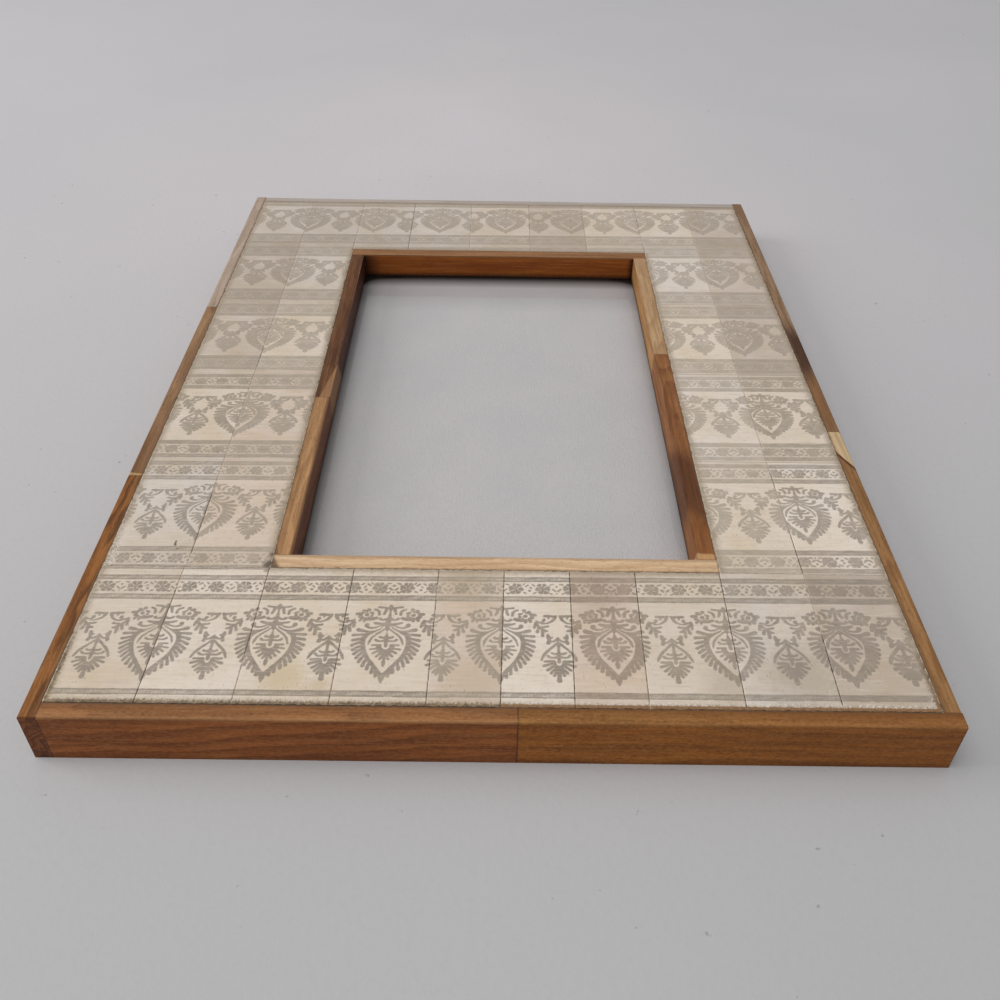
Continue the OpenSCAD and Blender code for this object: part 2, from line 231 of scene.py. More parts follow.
class Block:
    """Half a repeat of the printing block: at each point of a grid, the distance to the nearest
    inked edge, below nought inside the ink. The other half is its mirror image. Shapes are
    given as (x, y) or (x, y, half width) from the drawing's zero."""

    def __init__(self, pitch=0.06):
        self.pitch = pitch
        self.u = np.arange(-REACH, REPEAT / 2 + REACH, pitch)
        self.v = np.arange(-REACH, CELL + REACH, pitch)
        self.U, self.V = np.meshgrid(self.u, self.v)
        self.ink = np.full(self.U.shape, REACH)

    def window(self, points, grow):
        """The part of the grid within grow of the points."""
        low, high = points[:, :2].min(0) - grow, points[:, :2].max(0) + grow
        left, right = np.searchsorted(self.u, [low[0], high[0]])
        near, far = np.searchsorted(self.v, [low[1], high[1]])
        return slice(near, far), slice(left, right)

    def to_chords(self, points, window):
        """How far along each chord the nearest point lies, and the distance to it there."""
        U, V = self.U[window][..., None], self.V[window][..., None]
        a, d = points[:-1], np.diff(points, axis=0)
        along = (U - a[:, 0]) * d[:, 0] + (V - a[:, 1]) * d[:, 1]
        t = np.clip(along / (d[:, 0] ** 2 + d[:, 1] ** 2 + 1e-12), 0, 1)
        return t, np.hypot(U - a[:, 0] - t * d[:, 0], V - a[:, 1] - t * d[:, 1])

    def stroke(self, points):
        """A round-ended stroke: the distance to its line less the half width there."""
        p = np.array(points, float)
        if len(p) == 1:
            p = np.vstack([p, p + [1e-4, 0, 0]])
        if len(p) > 2:
            p = smooth_line(p)
        window = self.window(p, REACH + p[:, 2].max())
        t, gap = self.to_chords(p, window)
        return window, (gap - p[:-1, 2] - t * np.diff(p[:, 2])).min(-1)

    def patch(self, outline):
        """A filled outline: the distance to it, below nought where a line to the right
        crosses it an odd number of times."""
        p = smooth_line([(x, y + FOOT) for x, y in outline])
        p = np.vstack([p, p[0]])
        window = self.window(p, REACH)
        gap = self.to_chords(p, window)[1].min(-1)
        U, V = self.U[window][..., None], self.V[window][..., None]
        a, b = p[:-1], p[1:]
        rise = np.where(b[:, 1] == a[:, 1], 1e-9, b[:, 1] - a[:, 1])
        meets = a[:, 0] + (V - a[:, 1]) * (b[:, 0] - a[:, 0]) / rise
        crossed = ((a[:, 1] > V) != (b[:, 1] > V)) & (U < meets)
        return window, np.where(crossed.sum(-1) % 2 == 1, -gap, gap)

    def cut(self, *shapes):
        """Adds shapes to the ink: the lesser distance counts."""
        for window, gap in shapes:
            self.ink[window] = np.minimum(self.ink[window], gap)

    def clear(self, *shapes):
        """Takes shapes out of the ink: the greater distance counts, theirs turned over."""
        for window, gap in shapes:
            self.ink[window] = np.maximum(self.ink[window], -gap)

    def strokes(self, rows, axis=0.0, way=1, base=FOOT, up=1):
        """Strokes given from an axis and a base line; way -1 or up -1 turns them over."""
        return [self.stroke([(axis + way * x, base + up * y, half) for x, y, half in row])
                for row in rows]

    def read(self, u, v):
        """The distance at any point of the endless border, straight between grid points."""
        folded = np.abs((u + REPEAT / 2) % REPEAT - REPEAT / 2)
        i, j = (folded - self.u[0]) / self.pitch, (v - self.v[0]) / self.pitch
        i = np.clip(i, 0, len(self.u) - 1.001)
        j = np.clip(j, 0, len(self.v) - 1.001)
        i0, j0 = i.astype(int), j.astype(int)
        i, j = i - i0, j - j0
        near = self.ink[j0, i0] * (1 - i) + self.ink[j0, i0 + 1] * i
        far = self.ink[j0 + 1, i0] * (1 - i) + self.ink[j0 + 1, i0 + 1] * i
        return near * (1 - j) + far * j


def great_leaf(block):
    """The great leaf: a fringe of petals round a clear eye that holds a crescent line and a
    small flower. Only the right half is cut; the block is its own mirror image."""
    petals = [  # root x, y, tip x, y
        (3.6, 20.95, 6.65, 20.75), (4.1, 20.0, 6.7, 19.35), (4.3, 19.2, 6.7, 17.97),
        (4.3, 18.3, 6.4, 16.8), (4.2, 17.4, 6.0, 15.78), (4.0, 16.6, 5.45, 14.75),
        (3.7, 15.7, 4.8, 13.75), (3.2, 14.8, 3.98, 12.8), (2.5, 13.9, 3.05, 12.0),
        (1.75, 12.9, 2.02, 11.1), (1.0, 11.9, 1.2, 10.3)]
    bow, root_half, tip_half = 0.1, 0.31, 0.36
    fringe = [[(x0, y0, root_half), ((x0 + x1) / 2 + bow, (y0 + y1) / 2, (root_half + tip_half) / 2),
               (x1, y1, tip_half)] for x0, y0, x1, y1 in petals]
    shoulder = [(2.4, 21.85, .2), (4.0, 21.75, .27), (5.0, 22.0, .42), (5.75, 22.25, .48)]
    body = [(-1.2, 9.9), (0.75, 10.2), (1.45, 11.35), (2.15, 12.45), (2.85, 13.45), (3.55, 14.5),
            (4.2, 15.65), (4.7, 16.9), (5.0, 18.2), (5.05, 19.5), (4.75, 20.7), (4.05, 21.5),
            (3.1, 21.95), (2.2, 22.4), (1.3, 22.9), (0.6, 23.4), (-1.2, 23.6)]
    eye = [(-0.9, 12.0), (0, 10.98), (0.85, 12.05), (1.6, 13.05), (2.3, 14.05), (2.95, 15.05),
           (3.45, 16.05), (3.8, 17.05), (4.0, 18.05), (4.08, 19.0), (3.95, 19.9), (3.6, 20.6),
           (3.05, 21.12), (2.4, 21.65), (1.7, 22.12), (1.1, 22.6), (0.6, 23.15), (-0.9, 23.2)]
    clear_line = [(0.95, 23.25, .08), (1.5, 22.8, .13), (2.2, 22.4, .17), (3.0, 22.2, .2),
                  (3.8, 22.25, .2), (4.6, 22.65, .2)]
    inside = [
        [(0, 8.5, .08), (0, 9.2, .38), (0, 9.9, .6), (0, 10.6, .5)],
        [(0.2, 22.75, .14), (0.9, 22.05, .17), (1.6, 21.45, .2), (2.3, 20.8, .22),
         (2.85, 20.1, .23), (3.2, 19.3, .22), (3.38, 18.6, .17), (3.45, 18.15, .08)],
        [(0, 23.3, .42), (0, 22.5, .38), (0, 21.9, .1), (0, 21.4, .13), (0, 20.8, .32),
         (0, 20.2, .45), (0, 19.4, .42), (0, 18.9, .36)],
        [(0.2, 20.15, .34), (0.8, 20.1, .28), (1.25, 20.3, .32)],
        [(0.2, 19.35, .28), (1.0, 19.2, .22), (1.7, 19.25, .24), (2.1, 19.55, .3)],
        [(0, 18.9, .3), (0, 18.4, .38), (0, 18.0, .36), (0, 17.85, .3)],
        [(1.0, 18.12, .22), (2.65, 18.1, .24)],
        [(1.1, 17.3, .22), (2.95, 17.02, .24)],
        [(1.1, 16.9, .22), (2.25, 15.98, .27)],
        [(0.7, 16.2, .27), (1.6, 15.15, .27)],
        [(0.3, 15.6, .27), (0.85, 14.55, .26)],
        [(0, 14.5, .2), (0, 13.9, .35), (0, 13.2, .35), (0, 12.75, .15)]]
    cup = [(-0.9, 17.0), (0.0, 17.0), (0.55, 17.2), (0.85, 17.7), (0.95, 18.3), (1.55, 18.25),
           (1.85, 17.6), (1.65, 16.8), (1.25, 16.1), (0.7, 15.4), (0.35, 14.6), (-0.9, 14.5)]
    block.cut(*block.strokes(fringe + [shoulder]), block.patch(body))
    block.clear(block.patch(eye), *block.strokes([clear_line]))
    block.cut(*block.strokes(inside), block.patch(cup))


def crown(block):
    """The crown over the great leaf: stalk, volutes, a finial between leaves and a rosette."""
    block.cut(*block.strokes([
        [(0, 23.4, .55), (0, 24.0, .6), (0, 24.7, .5), (0, 25.4, .46), (0, 26.1, .34),
         (0, 27.0, .2), (0, 28.0, .2)],
        [(0.3, 23.75, .45), (1.5, 23.85, .35), (2.3, 24.02, .32), (2.85, 24.2, .24)],
        [(0.4, 23.5, .2), (1.4, 23.35, .17), (1.9, 23.1, .17), (2.5, 22.85, .2), (3.2, 22.75, .23),
         (3.8, 22.92, .27), (4.25, 23.3, .38), (4.2, 23.6, .44)],
        [(0, 28.15, .46), (0, 28.8, .42), (0, 29.1, .22)],
        [(0.4, 28.3, .28), (1.3, 28.45, .24), (2.4, 28.62, .25)],
        [(0.88, 28.2, .3), (1.0, 27.4, .3), (1.28, 26.7, .27)],
        [(3.2, 28.0, .24), (2.65, 27.75, .27), (2.28, 27.25, .3), (2.22, 26.5, .27)],
        [(0.4, 25.3, .33), (0.9, 25.05, .28), (1.5, 25.0, .24), (1.85, 25.3, .36)],
        [(2.7, 25.5, .38), (3.5, 25.25, .42), (4.4, 25.2, .42)],
        [(4.9, 25.3, .34), (5.0, 24.68, .3)],
        [(5.7, 25.5, .46), (5.95, 24.82, .3)],
        [(4.78, 26.38, .46)], [(4.5, 27.85, .44)], [(5.5, 27.4, .5)], [(4.9, 27.3, .24)],
        [(6.0, 26.7, .4), (6.75, 26.65, .4)], [(6.1, 25.95, .46)],
        [(3.6, 26.8, .36), (4.1, 27.1, .2)], [(3.7, 26.1, .33)], [(4.3, 25.6, .28)]]))


def small_leaf(block):
    """The small leaf between two great ones and the garland that hangs over it, measured from
    the small leaf's own axis half a repeat away."""
    garland = [
        [(4.4, 25.0, .24), (3.8, 24.7, .26), (3.2, 24.75, .26), (2.85, 25.15, .33)],
        [(2.85, 25.35, .4)],
        [(3.2, 24.3, .16), (2.3, 24.4, .2), (1.6, 24.7, .24), (1.0, 25.2, .3), (.65, 25.9, .33),
         (.4, 26.35, .25)],
        [(2.75, 26.42, .33), (1.9, 26.42, .33), (1.0, 26.35, .3), (.35, 26.5, .24)],
        [(1.95, 26.2, .33), (1.9, 25.75, .2)],
        [(4.5, 24.5, .32), (4.0, 23.8, .34), (3.4, 23.2, .34), (2.8, 22.7, .3)],
        [(4.6, 24.2, .28), (4.65, 23.15, .3)],
        [(3.7, 23.2, .3), (4.05, 21.95, .36)],
        [(3.05, 22.5, .3), (3.0, 21.7, .34), (3.0, 20.95, .34)],
        [(3.1, 23.45, .22), (2.4, 23.45, .26), (1.85, 23.6, .28)],
        [(2.9, 22.6, .3), (2.4, 22.35, .33), (2.05, 22.3, .24)],
        [(1.95, 21.15, .32), (1.8, 20.4, .46), (1.75, 19.8, .33), (1.95, 18.95, .4)],
        [(1.7, 20.4, .33), (1.25, 20.42, .25)],
        [(1.8, 19.4, .28), (1.0, 19.4, .24), (0.5, 19.75, .26), (0, 20.2, .28)],
        [(0, 20.5, .12), (0, 19.9, .42)]]
    leaf = [
        [(0, 19.15, .34), (0.4, 18.8, .3), (1.2, 17.95, .27), (2.2, 16.9, .29), (2.9, 15.9, .31),
         (3.3, 15.0, .26), (3.45, 14.5, .13)],
        [(0, 19.1, .34), (0, 17.5, .28), (0, 16.2, .34), (0, 15.4, .36), (0, 14.7, .36),
         (0, 14.3, .36), (0, 14.1, .3)],
        [(0.3, 16.25, .3), (0.9, 16.2, .25), (1.35, 16.4, .27)],
        [(0.3, 15.4, .28), (1.2, 15.27, .23), (1.9, 15.45, .26), (2.12, 15.75, .3)],
        [(1.0, 14.35, .3), (2.7, 14.3, .3)],
        [(0.9, 13.95, .3), (2.95, 13.15, .33)],
        [(0.8, 13.4, .3), (2.25, 12.15, .32)],
        [(0.6, 12.7, .3), (1.6, 11.35, .31)],
        [(0.4, 12.1, .3), (1.0, 10.75, .29)],
        [(0.95, 14.3, .32), (0.75, 13.4, .32), (0.3, 12.9, .32), (0, 12.8, .3)],
        [(0, 12.8, .45), (0, 11.5, .5), (0, 10.7, .4), (0, 9.9, .47), (0, 9.45, .52)]]
    block.cut(*block.strokes(garland + leaf, axis=REPEAT / 2, way=-1))


def flower_rows(block):
    """The frieze on both sides of the leaves: flower heads and sprigs between ruled bands.
    Heights are measured outwards from the leaves' field, so the lower frieze is the upper
    one turned over."""
    heads = [
        [(2.8, 3.75, .95)], [(3.45, 4.55, .7)], [(2.6, 4.8, .52)], [(1.85, 4.1, .56)],
        [(2.25, 2.85, .7)], [(3.2, 2.85, .66)], [(3.9, 3.6, .6)], [(1.8, 3.4, .5)],
        [(8.6, 3.75, .95)], [(8.0, 4.55, .7)], [(8.9, 4.8, .52)], [(9.6, 4.1, .56)],
        [(9.2, 2.85, .7)], [(8.2, 2.85, .66)], [(7.5, 3.6, .58)], [(9.6, 3.4, .5)]]
    sprigs = [
        [(1.65, 2.55, .14), (1.1, 2.3, .22), (.75, 2.6, .16)], [(0, 4.35, .3)],
        [(.3, 3.1, .22), (.85, 3.6, .22)], [(.65, 5.1, .16), (1.3, 4.9, .24)], [(0, 2.4, .2)],
        [(4.6, 2.6, .24), (5.05, 2.4, .16)], [(5.75, 3.15, .33)],
        [(5.45, 4.85, .23), (4.95, 4.4, .18)], [(6.45, 4.95, .22), (6.85, 4.6, .16)],
        [(4.5, 4.9, .2), (4.75, 5.3, .12)], [(5.9, 4.2, .17), (6.2, 3.8, .14)],
        [(6.6, 2.4, .2), (7.05, 2.65, .17)], [(9.9, 2.5, .14), (10.4, 2.3, .2)],
        [(10.2, 4.9, .22), (10.8, 5.1, .16)], [(11.2, 3.1, .22), (10.7, 3.6, .22)],
        [(11.5, 4.35, .28)], [(11.5, 2.4, .18)]]
    veins = [
        [(1.75, 4.75, .06), (2.35, 4.25, .12), (2.75, 3.85, .07)],
        [(3.1, 3.5, .08), (3.55, 4.15, .1), (4.2, 4.6, .06)],
        [(1.5, 3.0, .06), (2.2, 3.3, .12), (2.7, 3.4, .06)], [(2.7, 2.4, .1), (2.75, 2.95, .08)],
        [(3.3, 3.2, .1), (4.2, 3.0, .08)], [(2.95, 4.3, .08), (3.0, 5.0, .1)]]
    mirror = 11.4       # the second flower's veins are the first one's, turned over at half this
    veins += [[(round(mirror - x, 2), y, half) for x, y, half in vein] for vein in veins]
    bands = [(0.0, 1.5), (5.8, 7.25)]     # inner and outer ruled band, as heights
    ruled, thin_ink = 0.2, -0.012         # half width of a ruled line; the hatching prints thin
    for base, up in ((FIELD[1], 1), (FIELD[0], -1)):
        block.cut(*block.strokes(heads + sprigs, base=base, up=up))
        block.clear(*block.strokes(veins, base=base, up=up))
        out = up * (block.V - base)
        for start, stop in bands:
            lines = np.minimum(np.abs(out - start - ruled), np.abs(out - stop + ruled)) - ruled
            between = np.abs(out - (start + stop) / 2) - (stop - start) / 2
            hatched = np.maximum(between, thin_ink)
            block.ink = np.minimum(block.ink, np.minimum(lines, hatched))


def cut_block():
    block = Block()
    great_leaf(block)
    crown(block)
    small_leaf(block)
    flower_rows(block)
    return block


BLOCK = cut_block()


def wander(seed, *at, size=1.0, waves=5):
    """A slow wandering number at each place, about -1 to 1: a sum of sine waves, each 1.7
    times shorter and 1.5 times lower than the last, the first one size long, with directions
    and phases drawn from the seed."""
    draw = np.random.default_rng(seed)
    total = 0.0
    for k in range(waves):
        way = draw.normal(size=len(at))
        way /= np.linalg.norm(way) + 1e-9
        phase = sum(w * a for w, a in zip(way, at)) / size * 1.7 ** k
        total = total + np.sin(phase * 2 * math.pi + draw.uniform(0, 2 * math.pi)) / 1.5 ** k
    return total / 2.2


# Where the rows of tiles start, read from the pieces themselves
SIDE_ROWS = 4
HALF_GAP = 0.08     # half a resin line
FIELD_LOW, FIELD_HIGH = box_of("near_tile_1")[0] - HALF_GAP, box_of("far_tile_9")[1] + HALF_GAP
NEAR_TOP = box_of("near_tile_1")[1][1] + HALF_GAP
SIDE_TOP = box_of("left_outer_tiles")[1][1] + HALF_GAP
SIDE_PITCH = (SIDE_TOP - NEAR_TOP) / SIDE_ROWS
HOLE_X, HOLE_Y = box_of("right_inner_tiles")[0][0] - HALF_GAP, -NEAR_TOP
NEAR_CELL = 0.37    # the near row's cell starts this far inside the frame's near side
ROW_FEET = {"near": LOW[1] + NEAR_CELL}
ROW_FEET.update({f"side_{k + 1}": NEAR_TOP + SIDE_PITCH * k for k in range(SIDE_ROWS)})
ROW_FEET["far"] = SIDE_TOP
ROWS = list(ROW_FEET)
CROWN_FOOT, CROWN_TALL = 23.5, 2.5      # the crowns' lean grows over this height


def printed(x, y, row):
    """Distance to the print's edge at points of a row's tiles, and how far each point lies
    outside the field of the leaves. Each impression was laid over the one before it, down to
    the outer edge of its own lower ruled band. Slow waves shift it by up to 0.1 mm and thin
    or swell its lines by 0.04 mm, because no two impressions of a hand block are alike."""
    side = (x / PLACING_X + 1) / 2
    ink, beyond = np.full_like(x, REACH), np.full_like(x, -REACH)
    k = ROWS.index(row)
    for laid in ROWS[max(k - 1, 0):k + 2]:
        shift, lower, tall = (left + (right - left) * side for left, right in PLACING[laid])
        v = FIELD[0] + (y - ROW_FEET[laid] - lower) / tall
        lean = CROWN_LEAN * np.clip((v - CROWN_FOOT) / CROWN_TALL, 0, 1)
        u = x - CENTRE - shift - lean + 0.10 * wander(11, x, y, size=17.0)
        v = v + 0.08 * wander(12, x, y, size=15.0)
        within = v > PRINT_EDGE
        if laid == "near":      # its lower flower row was left out
            within = v > FIELD[0] - LOWER_BAND
        elif row == "near":     # beside the window there is no row above
            within &= np.abs(x) > HOLE_X
        ink = np.where(within, BLOCK.read(u, v), ink)
        beyond = np.where(within, np.maximum(FIELD[0] - v, v - FIELD[1]), beyond)
    return ink + 0.04 * wander(13, x, y, size=2.1), beyond


# Bone tiles: each is a fine sheet over the tile's top that turns down its four sides

SIDES = ("left", "right", "near", "far")
BODY = 2.5          # depth of the tiles
TILE_ARRIS, ARRIS_WIDE = 0.035, 0.1     # drop and width of the eased edge round a tile's top
HOLLOW = 0.02       # how deep the waves of the polished top reach
FRET = 0.5          # a side's wandering fades within this distance of it
BY_WOOD, BY_TILE = (0.0, 0.3), (-0.06, 0.03)    # least and most that a side is worn back
NO_WOOD = 3 * REACH     # stands for a distance to wood of no use to the finish


def mesh_piece(name, points, faces, uv=None, smooth=0):
    """A mesh from arrays: points in millimetres, and faces as arrays of 3 or 4 corners. The
    first smooth of them are shaded smoothly."""
    mesh = bpy.data.meshes.new(name)
    sizes = np.concatenate([np.full(len(f), f.shape[1]) for f in faces])
    corners = np.concatenate([f.ravel() for f in faces])
    mesh.vertices.add(len(points))
    mesh.vertices.foreach_set("co", (points * MM).astype(np.float32).ravel())
    mesh.loops.add(len(corners))
    mesh.loops.foreach_set("vertex_index", corners.astype(np.int32))
    mesh.polygons.add(len(sizes))
    starts = np.concatenate([[0], np.cumsum(sizes)[:-1]])
    mesh.polygons.foreach_set("loop_start", starts.astype(np.int32))
    mesh.polygons.foreach_set("use_smooth", np.arange(len(sizes)) < smooth)
    mesh.update(calc_edges=True)
    if uv is not None:
        layer = mesh.uv_layers.new(name="OFBake")
        layer.data.foreach_set("uv", uv.astype(np.float32).ravel())
    mesh.validate()
    piece = bpy.data.objects.new(name, mesh)
    bpy.context.scene.collection.objects.link(piece)
    return piece


def grid_faces(rows, columns):
    """Quads of a grid of points held row by row, and its rim's points in order."""
    at = np.arange(rows * columns).reshape(rows, columns)
    quads = np.stack([at[:-1, :-1], at[:-1, 1:], at[1:, 1:], at[1:, :-1]], -1).reshape(-1, 4)
    rim = np.concatenate([at[0, :-1], at[:-1, -1], at[-1, :0:-1], at[:0:-1, 0]])
    return quads, rim


def box_in(top, rim, foot, centre):
    """Closes a sheet from below: its rim's points again at the height foot, walls down to
    them, and a fan of triangles from them to the centre. Gives the points, walls and fan."""
    under = top[rim].copy()
    under[:, 2] = foot
    ring = len(top) + np.arange(len(rim))
    middle = len(top) + len(rim)
    walls = np.stack([rim, ring, np.roll(ring, -1), np.roll(rim, -1)], -1)
    fan = np.stack([ring, np.full(len(ring), middle), np.roll(ring, -1)], -1)
    return np.vstack([top, under, [[*centre, foot]]]), walls, fan


def give(piece, label, values):
    """Gives a piece's points a number each, for its finish to read."""
    layer = piece.data.attributes.new(label, "FLOAT", "POINT")
    layer.data.foreach_set("value", values.astype(np.float32))


def bone_tile(name, plan, pitch, beside_wood, row, seed):
    """A tile. plan is (near y, far y, near left x, near right x, far left x, far right x).
    Point (s, t) of its top lies at share s of the way from the left side to the right, and t
    of the way from near to far, about every pitch. Its sides wander in by a distance that
    fades away from them and is greater beside wood, and its rim drops by the arris."""
    near, far, near_left, near_right, far_left, far_right = plan
    n, m = round((near_right - near_left) / pitch), round((far - near) / pitch)
    S, T = np.meshgrid(np.linspace(0, 1, n + 1), np.linspace(0, 1, m + 1))
    left, right = near_left + (far_left - near_left) * T, near_right + (far_right - near_right) * T
    X, Y = left + (right - left) * S, near + (far - near) * T
    gaps = dict(zip(SIDES, (X - left, right - X, Y - near, far - Y)))
    rim = np.minimum.reduce(list(gaps.values()))
    wood = np.minimum.reduce([gaps[side] for side in beside_wood] + [np.full_like(X, NO_WOOD)])
    if row == "side_4":     # past the window's corners these tiles meet tiles
        wood = np.where((Y > HOLE_Y) & (np.abs(X) < PLACING_X), NO_WOOD, wood)
    inset = {}
    for k, side in enumerate(SIDES):
        least, most = BY_WOOD if side in beside_wood else BY_TILE
        along = Y if side in SIDES[:2] else X
        share = 0.5 + 0.38 * wander(seed + k, along, size=2.6, waves=7)
        inset[side] = (least + (most - least) * share) * np.exp(-gaps[side] / FRET)
    X = X + inset["left"] - inset["right"]
    Y = Y + inset["near"] - inset["far"]
    waves = 0.5 + 0.38 * wander(seed + 9, X, Y, size=9.0)
    Z = FACE - TILE_ARRIS * np.clip(1 - rim / ARRIS_WIDE, 0, 1) - HOLLOW * waves
    top = np.stack([X, Y, Z], -1).reshape(-1, 3)

    quads, loop = grid_faces(m + 1, n + 1)
    centre = ((near_left + near_right) / 2, (near + far) / 2)
    points, walls, base = box_in(top, loop, FACE - BODY, centre)

    # the map: the top fills most of it, the walls its border, the hidden base one corner
    border, brim = 0.04, 0.99
    share = np.stack([S, T], -1).reshape(-1, 2)
    flat = border + (1 - 2 * border) * share
    outer = 0.5 + (share[loop] - 0.5) * brim
    wall_uv = np.stack([flat[loop], outer, np.roll(outer, -1, 0), np.roll(flat[loop], -1, 0)], 1)
    corner = 0.002 * share[loop]
    base_uv = np.stack([corner, np.full_like(corner, 0.001), np.roll(corner, -1, 0)], 1)
    uv = np.vstack([flat[quads.ravel()], wall_uv.reshape(-1, 2), base_uv.reshape(-1, 2)])

    piece = mesh_piece(name, points, [quads, walls, base], uv, smooth=len(quads))
    ink, beyond = printed(X, Y, row)
    for label, values, hidden in (("ink", ink, REACH), ("beyond", beyond, 0.0), ("rim", rim, 0.0),
                                  ("wood", wood, 0.0)):
        whole = np.full(len(points), hidden)
        whole[:len(top)] = values.ravel()
        give(piece, label, whole)
    return piece


# Bone tones and inks. A tile's look is its tone and how much lighter the tile is than that, its
# ink, how far the ink has spread in millimetres, how dark it lies, and the share of it that the
# block left between the ruled bands.
WHITE, CREAM, TAN = (224, 212, 199), (217, 203, 188), (214, 197, 182)
ASHEN, DULL = (208, 197, 186), (198, 184, 171)
GREY_INK, WARM_INK, BROWN_INK = (144, 132, 119), (151, 139, 123), (150, 132, 115)
FAINT_INK = (163, 151, 136)
DEEPER = 26         # how much darker the ink lies in its speckles
GRAIN_DARK, GRAIN_PALE, MOTTLE = (170, 156, 138), (232, 224, 211), (178, 163, 142)
PORE, SPECK, JOINT_DIRT, DUST = (92, 76, 60), (104, 84, 62), (140, 122, 100), (172, 155, 134)
CRUMB, DARK_CRUMB, FLAKE, RESIDUE = (142, 120, 92), (96, 78, 54), (222, 212, 204), (136, 96, 56)


def bone_finish(name, tone, lift, ink_colour, spread, strength, haze, seed, stains=(), soil=(),
                chalk=None, darkening=0.25):
    """Polished bone with the grey print on it. stains and soil are (x, y, radius, colour,
    share) of blotches under and over the print, with places from the middle of the frame.
    chalk is (share, reach, stop) of pale flakes within reach of the wood and nearer than
    stop, with a brown residue along the near edge; dirt is the share of dark grime there."""
    f = Finish(name)
    draw = np.random.default_rng(seed)
    here = f.place()
    p = f.move(here, draw.uniform(-40, 40, 3))
    grain = f.noise(f.stretch(p, 0.12, 1.6, 1.0), detail=5.0, rough=0.6)
    cloud = f.noise(p, scale=0.09, detail=3.0)
    fine = f.noise(f.stretch(p, 0.5, 5.0, 3.0), detail=3.0)
    mottle = f.noise(p, scale=0.8, detail=4.0, rough=0.65)
    tone = np.array(tone) + lift
    bone = f.tint(paint(*tone), paint(*(tone - (9, 13, 22))), f.slope(cloud, 0.35, 0.75))
    bone = f.tint(bone, paint(*GRAIN_DARK), f.slope(grain, 0.52, 0.85, 0.0, 0.5))
    bone = f.tint(bone, paint(*GRAIN_PALE), f.slope(grain, 0.44, 0.2, 0.0, 0.6))
    bone = f.tint(bone, paint(*MOTTLE), f.slope(mottle, 0.55, 0.85, 0.0, 0.5))
    x, y, _ = f.parts(here)

    def blotch(under, sx, sy, radius, shade, share):
        """A round blotch whose edge follows the mottle."""
        u, v = f.times(f.add(x, -sx), 1 / radius), f.times(f.add(y, -sy), 1 / radius)
        far = f.math("SQRT", f.add(f.times(u, u), f.times(v, v)))
        mask = f.slope(f.add(far, f.times(f.add(mottle, -0.5), 1.2)), 1.0, 0.3, 0.0, share)
        return f.tint(under, paint(*shade), mask)

    for stain in stains:
        bone = blotch(bone, *stain)

    # the print: a worn edge, thinned in places, with scratches of bare bone along the grain
    edge = f.noise(p, scale=2.6, detail=3.0, rough=0.7)
    ink = f.add(f.attribute("ink"), f.times(f.add(edge, -0.5), 0.26))
    covered = f.rise(ink, spread + 0.11, spread - 0.13)
    thin = f.slope(f.noise(p, scale=0.33, detail=5.0, rough=0.65), 0.3, 0.7, strength - 0.25, strength)
    covered = f.times(covered, thin)
    scratch = f.rise(f.noise(f.stretch(p, 0.3, 6.5, 2.0), detail=2.0), 0.56, 0.70, 1.0, 0.5)
    covered = f.times(covered, scratch)
    smear = f.noise(f.stretch(p, 0.25, 0.7, 0.5), detail=4.0, rough=0.6)
    film = f.slope(smear, 0.3, 0.65, haze * 0.5, haze)
    covered = f.math("MAXIMUM", covered, f.times(film, f.slope(f.attribute("beyond"), -0.1, 0.3)))
    speckle = f.slope(f.noise(p, scale=3.2, detail=2.0, rough=0.7), 0.45, 0.8)
    ink_tone = f.tint(paint(*ink_colour), paint(*(c - DEEPER for c in ink_colour)), speckle)
    colour = f.tint(bone, ink_tone, covered)

    # pores, specks, and grime rubbed into the joints and along the wood
    pores = f.rise(f.noise(f.stretch(p, 5.5, 0.9, 3.0), detail=1.0), 0.71, 0.78, 0.0, 0.5)
    colour = f.tint(colour, paint(*PORE), pores)
    specks = f.rise(f.noise(p, scale=1.5, detail=2.0), 0.74, 0.8, 0.0, 0.6)
    colour = f.tint(colour, paint(*SPECK), specks)
    ragged = f.noise(p, scale=1.1, detail=4.0, rough=0.65)
    inside = f.less(f.attribute("rim"), f.add(f.times(ragged, 0.5), -0.24))
    colour = f.tint(colour, paint(*JOINT_DIRT), f.slope(inside, 0.1, -0.04, 0.0, 0.2))
    dusty = f.slope(f.less(f.attribute("wood"), f.times(ragged, 3.0)), 0.6, -1.0, 0.0, 0.6)
    colour = f.tint(colour, paint(*DUST), dusty)
    spiky = f.noise(f.stretch(p, 2.6, 1.4, 1.0), detail=4.0, rough=0.7)
    grime = f.slope(f.less(f.attribute("wood"), f.times(spiky, 2.6)), -0.1, -0.8)
    outer = f.slope(y, LOW[1] + 15, LOW[1] + 20, darkening, 0.25)    # thick along the near edge only
    crumbs = f.tint(paint(*CRUMB), paint(*DARK_CRUMB), f.slope(mottle, 0.35, 0.6))
    colour = f.tint(colour, crumbs, f.times(grime, outer))
    if chalk:
        share, reach, stop = chalk
        flakes = f.rise(f.noise(p, scale=2.2, detail=3.0, rough=0.7), 0.5, 0.62, 0.0, share)
        near_wood = f.slope(f.attribute("wood"), reach, 0.65 * reach)
        nearer = f.slope(y, stop - 3, stop, 1.0, 0.0)
        colour = f.tint(colour, paint(*FLAKE), f.times(flakes, f.times(near_wood, nearer)))
        edge_mark = f.slope(f.less(f.attribute("wood"), f.times(ragged, 0.6)), 0.6, 0.36, 0.0, 0.88)
        near_edge = f.slope(y, LOW[1] + 6, LOW[1] + 9, 1.0, 0.0)
        colour = f.tint(colour, paint(*RESIDUE), f.times(edge_mark, near_edge))
    for stain in soil:
        colour = blotch(colour, *stain)

